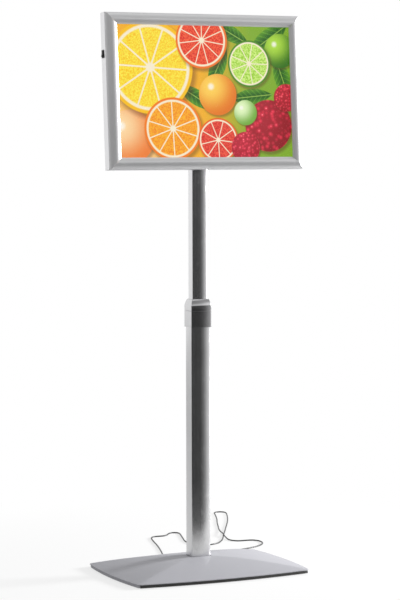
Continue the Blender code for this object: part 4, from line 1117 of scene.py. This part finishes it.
def add_screw(name, head_radius, head_height, shank_radius, length):
    screw = add_turned(name, [
        (shank_radius * 0.8, -length), (shank_radius, -length + 0.0005), (shank_radius, 0), (head_radius, 0),
        (head_radius, head_height * 0.35), (head_radius * 0.90, head_height * 0.72),
        (head_radius * 0.62, head_height)], 40)
    for turn in (0, quarter):
        bar = add_block("cross_bar", (-head_radius * 0.55, -head_radius * 0.11, head_height * 0.3),
                        (head_radius * 0.55, head_radius * 0.11, head_height + overrun))
        place_piece(bar, turned(turn + cross_turn, "Z"))
        cut(screw, bar)
    soften(screw, 0.00012, 1, 50)
    return screw


def settle_zinc(piece, place, body, solid):
    settle(piece, place, body, solid, zinc_plate)


face_back = box_place @ moved(0, 0, pivot_to_back) @ turned(math.pi, "X")
pattern = add_screw("screw_pattern", 0.0038, 0.0022, 0.0019, 0.0071)
for number, (right, high) in enumerate(((-1, -1), (-1, 1), (1, -1), (1, 1)), 1):
    screw = copy_of(pattern, "screw_bracket_%d" % number, Matrix.Identity(4))
    place = face_back @ moved(right * bracket_half_x, -high * bracket_half_y, head_seat)
    settle_zinc(screw, place @ turned(number * screw_turn, "Z"), "light_box", "bracket_screw_%d" % number)
bpy.data.objects.remove(pattern, do_unlink=True)
pole_screw = add_screw("screw_pole_foot", 0.0029, 0.0014, 0.0015, 0.0092)
settle_zinc(pole_screw, moved(0, 0.0189, 0.0520) @ lie_along((0, 1, 0)), "stand", "tube_screw")

bolt = add_turned("bolt_tilt", [
    (0.0048, -0.0239), (0.0055, -0.0232), (0.0055, -0.0204), (0.0030, -0.0204), (0.0030, 0.0298),
    (0.0024, 0.0304)])
cut(bolt, add_rod("bolt_recess", 0.0023, -0.030, -0.0218, 6))
place_piece(bolt, moved(*pivot) @ lie_along((1, 0, 0)))
soften(bolt, 0.0001, 1, 60)
smooth(bolt)
fit(bolt, "upper_pole", "tilt_bolt", zinc_plate)
print("screws and bolt ready")

# %% [markdown]
# ## Rocker switch
# A small rocker switch sits in the left side of the casing, near its top. Its bezel is a block with a well,
# and the rocker is a bar whose outer face is dented in the middle: the bar is subdivided and each row is
# pushed by its share. The rocker rests with its upper end pressed.

# %% Switch body and rocker
rocker_half = 0.0056
rocker_dent = 0.0008
rocker_root = 0.0016
rocker_lean = math.radians(-9)
switch_place = side_place("left") @ moved(-0.0775, 0, 0.0078)
bezel = add_block("switch_bezel", (-0.0085, -0.0013, -0.0053), (0.0085, -0.0003, 0.0053))
cut(bezel, add_block("switch_core", (-0.0074, -0.0008, -0.0044), (0.0074, 0.0140, 0.0044)), "UNION")
cut(bezel, add_block("switch_well", (-0.0063, -0.006, -0.0034), (0.0063, 0.0039, 0.0034)))
soften(bezel, 0.0003, 2, 40)
settle(bezel, switch_place, "light_box", "switch_body", switch_plastic)

rocker = add_block("switch_paddle", (-rocker_half, -0.0022, -0.0031), (rocker_half, rocker_root, 0.0031))
pick(rocker, "EDGE", lambda edge: runs_along(edge, 0))
bpy.ops.mesh.subdivide(number_cuts=7)
push_rows(rocker, 0, lambda point: point.co.y < 0,
          lambda row: (0, rocker_dent * (1 - (row / rocker_half) ** 2), 0))
push_rows(rocker, 0, lambda point: point.co.y > rocker_root - near,
          lambda row: (0, rocker_root * min(1, 2 - 2 * abs(row) / rocker_half), 0))
leave()
soften(rocker, 0.0003, 2, 50)
settle(rocker, switch_place @ moved(0, -0.0010, 0) @ turned(rocker_lean, "Z"), "rocker", "switch_rocker",
       switch_plastic)
print("switch", len(bezel.data.polygons), len(rocker.data.polygons))

# %% [markdown]
# ## Leads inside and between
# The lead runs on from the gland through the base, lies in loose waves in the lower pole, climbs the upper
# pole and comes out through the grommet. From there a free loop reaches the plug on the back of the light
# box. The waves stretch when the pole is raised and the loop turns with the tilt; these two are drawn where
# they lie at rest and are put on no body. Inside the light box a thinner wire joins the socket and the
# switch.

# %% Hidden leads
line_step = 0.003
base_marks = [(0, 0, 0.0703), (0, 0, 0.0423), (0, 0.0062, 0.0198), (0, 0.0186, 0.0183), (0, 0.0372, 0.0168),
              (0, 0.1027, 0.0100), (0, 0.1377, 0.0045), (0, 0.1444, 0.0042)]
pole_marks = [(0.0155, 0, grommet_height), (0.0120, 0, grommet_height), (0.0039, 0, 0.9046),
              (0, 0, 0.8942), (0, 0, 0.6410), (0, 0, 0.3670)]


def lay(name, marks, body, solid, radius=lead_radius):
    """Draw a lead that rides on one body."""
    lead = draw_lead(name, smooth_line(marks, line_step)[0], radius)
    fit(lead, body, solid, jacket)


lay("lead_in_base", base_marks, "stand", "lead_base")
lay("lead_in_pole", pole_marks, "upper_pole", "lead_upper")
print("leads in the base and the upper pole ready")

# %% Spare lead in the lower pole
def hang(name, line, solid):
    """Draw a lead where it lies, in world axes, and put it on no body."""
    lead = draw_lead(name, line, lead_radius)
    jacket.dress(lead)
    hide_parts(solid)
    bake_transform(lead)


spare_low = 0.0706
spare_high = 0.3667
spare_waves = 4
spare_sway = 0.0070
spare_steps = 160
spare_line = []
for step in range(spare_steps + 1):
    share = step / spare_steps
    sway = spare_sway * math.sin(math.pi * share)
    angle = 2 * math.pi * spare_waves * share
    spare_line.append(Vector((sway * math.cos(angle), sway * math.sin(angle) * lower_half_y / lower_half_x,
                              between(spare_low, spare_high, share))))
hang("lead_spare", spare_line, "lead_slack")
print("spare lead in", spare_waves, "waves")

# %% Wire in the light box
wire_radius = 0.0008
switch_end = Vector((-0.2107, 0.0775, 0.0078))
socket_end = Vector((0.055, -0.085, 0.0143))
wire_middle = 0.00885
wire_sweep = frame_width / 8
wire_marks = [
    socket_end, socket_end + Vector((-wire_sweep / 4, 0, 0)),
    Vector((0, socket_end.y + wire_sweep / 2, wire_middle)), Vector((-wire_sweep * 2, 0, wire_middle)),
    switch_end + Vector((wire_sweep, -wire_sweep / 2, 0)), switch_end + Vector((wire_sweep / 4, 0, 0)),
    switch_end]
lay("wire_in_box", [centre_place @ mark for mark in wire_marks], "light_box", "power_wire", wire_radius)
print("wire in the light box ready")

# %% Loop at the tilt
loop_start = socket_place @ Vector((0, 0, -0.0233))
loop_end = Vector((0.0196, 0, grommet_height))
loop_step = 0.002
drop = 0.0184
# corners of the loop, in quarters of its drop
from_plug = ((0, 0, 0), (0, 1, 0), (0, 3, -2), (0, 3, -6), (0, 2, -10), (-2, 1, -12))
from_pole = ((4, 0, -5), (4, 0, -2), (4 / 3, 0, 0), (0, 0, 0))
loop_marks = [end + Vector(step) * drop / 4
              for end, steps in ((loop_start, from_plug), (loop_end, from_pole)) for step in steps]
loop_line, loop_length = smooth_line(loop_marks, loop_step)
hang("lead_tilt", loop_line, "lead_tilt_loop")
print("tilt loop", round(loop_length, 3), "m")

fit(floor_lead, "stand", "floor_lead", jacket)

# %% [markdown]
# ## Solids that keep their shape
# Plates, sheets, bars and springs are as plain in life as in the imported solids, so they stay and only get
# their finishes.

# %% Dress the solids
white_enamel.dress("back_panel")
zinc_plate.dress("backing_plate", "ballast_plate", "pole_foot", "foot_bolt_left", "foot_bolt_right",
                 "lock_stud")
brass_metal.dress("clamp_pad")
black_plastic.dress("collar_liner", "guide_bush", "tilt_head")
black_zinc.dress("tilt_bracket")
pad_rubber.dress("base_pad")
casing_metal.dress("casing_bottom", "casing_top")
casing_metal_up.dress("casing_left", "casing_right")
reflector_film.dress("reflector_sheet")
guide_acrylic.dress("light_guide")
opal.dress("diffuser")
film.dress("print_sheet")
cover_film.dress("cover_sheet")
strip_board.dress("led_bar_top", "led_bar_bottom")
spring_metal.dress(*("snap_spring_" + side for side in rails))
print("solids dressed")

# %% [markdown]
# ## Floor
# The stand is shown on white. The floor is a pale diffuse sheet. Rays from the camera, and those that clear
# parts send on, see it with a steady glow added, so that it ends in white and still keeps the soft shadow.
# Rays from metal see a share of that glow, and the floor ends in front of the stand, so that the poles keep
# their dark fronts.

# %% Floor
floor_middle = (0, 2.3, 0)
floor_size = (7, 5.5, 1)
glossy_share = 0.15
bpy.ops.mesh.primitive_plane_add(size=1, location=floor_middle)
bpy.ops.transform.resize(value=floor_size, center_override=floor_middle)
floor = named("studio_floor")
paper = Finish("studio_paper", grey(0.60, 0.0), 0.9, Specular_IOR_Level=0.1)
paper.relief(paper.noise(500, 2), 0.00002, 0.2)
paper.dress(floor)
camera_ray, glossy_ray, clear_ray = (
    paper.node("LightPath", output="Is %s Ray" % kind) for kind in ("Camera", "Glossy", "Transmission"))
seen = camera_ray.most(glossy_ray * glossy_share).most(clear_ray)
glow = paper.node("Emission", None, {"Color": (1, 1, 1, 1), "Strength": 1.0})
shade = paper.node("BsdfDiffuse", None, {"Color": (0.8, 0.8, 0.8, 1)})
right = paper.along((1, 0, 0))
behind = paper.along((0, 1, 0))
away = right * right + behind * behind
white = paper.node("MixShader", None, {0: 0.70 + away.fade(0.1, 1.0) * 0.30, 1: shade, 2: glow})
plain = Wire(paper, paper.shader.outputs[0])
result = paper.node("MixShader", None, {0: seen, 1: plain, 2: white})
paper.tree.links.new(result.socket, paper.tree.nodes["Material Output"].inputs["Surface"])
print("floor", floor_size)

# %% [markdown]
# ## Light
# The studio is a soft dome, bright behind the stand and to its right and dim on the left front, where the
# camera stands. That gives the poles their dark fronts and bright flanks. The camera itself sees plain
# white. A low lamp on the right lays the pole's shadow over the left slope of the base.

# %% Dome
world = bpy.data.worlds.new("studio_dome")
bpy.context.scene.world = world
world.use_nodes = True
dome = Net(world.node_tree)
toward = dome.node("TexCoord", output="Generated")
bright_heading = math.radians(160)
bright_direction = (math.sin(bright_heading), -math.cos(bright_heading), 0)
facing = dome.vector("DOT_PRODUCT", toward, bright_direction, "Value")
height = dome.vector("DOT_PRODUCT", toward, (0, 0, 1), "Value")
darkest = 0.04
front_share = 0.66
ring_dimming = 0.60
around = (darkest + height.fade(0.01, 0.25) * front_share + facing.fade(-0.80, 0.30)).least(1.0)
level = around * (1 - height.fade(0.36, 0.56) * ring_dimming * (1 - height.fade(0.80, 0.95)))
seen_straight = dome.node("LightPath", output="Is Camera Ray")
strength = level + (1 - level) * seen_straight
background = world.node_tree.nodes["Background"]
world.node_tree.links.new(strength.socket, background.inputs["Strength"])
background.inputs["Color"].default_value = (1, 1, 1, 1)
print("dome with", len(world.node_tree.nodes), "nodes")

# %% Lamp
lamp_place = Vector((3.75, -0.4, 1.15))
lamp_aim = Vector((0, 0, 0.1))
lamp_size = 0.8
lamp_power = 310
bpy.ops.object.light_add(type="AREA", location=lamp_place)
lamp = bpy.context.active_object
lamp.name = "key_right"
lamp.data.shape = "RECTANGLE"
lamp.data.size = lamp.data.size_y = lamp_size
lamp.data.energy = lamp_power
lamp.rotation_euler = (lamp_aim - lamp_place).to_track_quat("-Z", "Y").to_euler()
bpy.context.scene.view_settings.view_transform = "Standard"
print("lamp", lamp.name)

# %% [markdown]
# ## Sizes and finish
# The dressed model has to keep to the box of the solids, so both boxes are written down before the table of
# pieces and bodies is made.

# %% Update the view layer
bpy.context.view_layer.update()
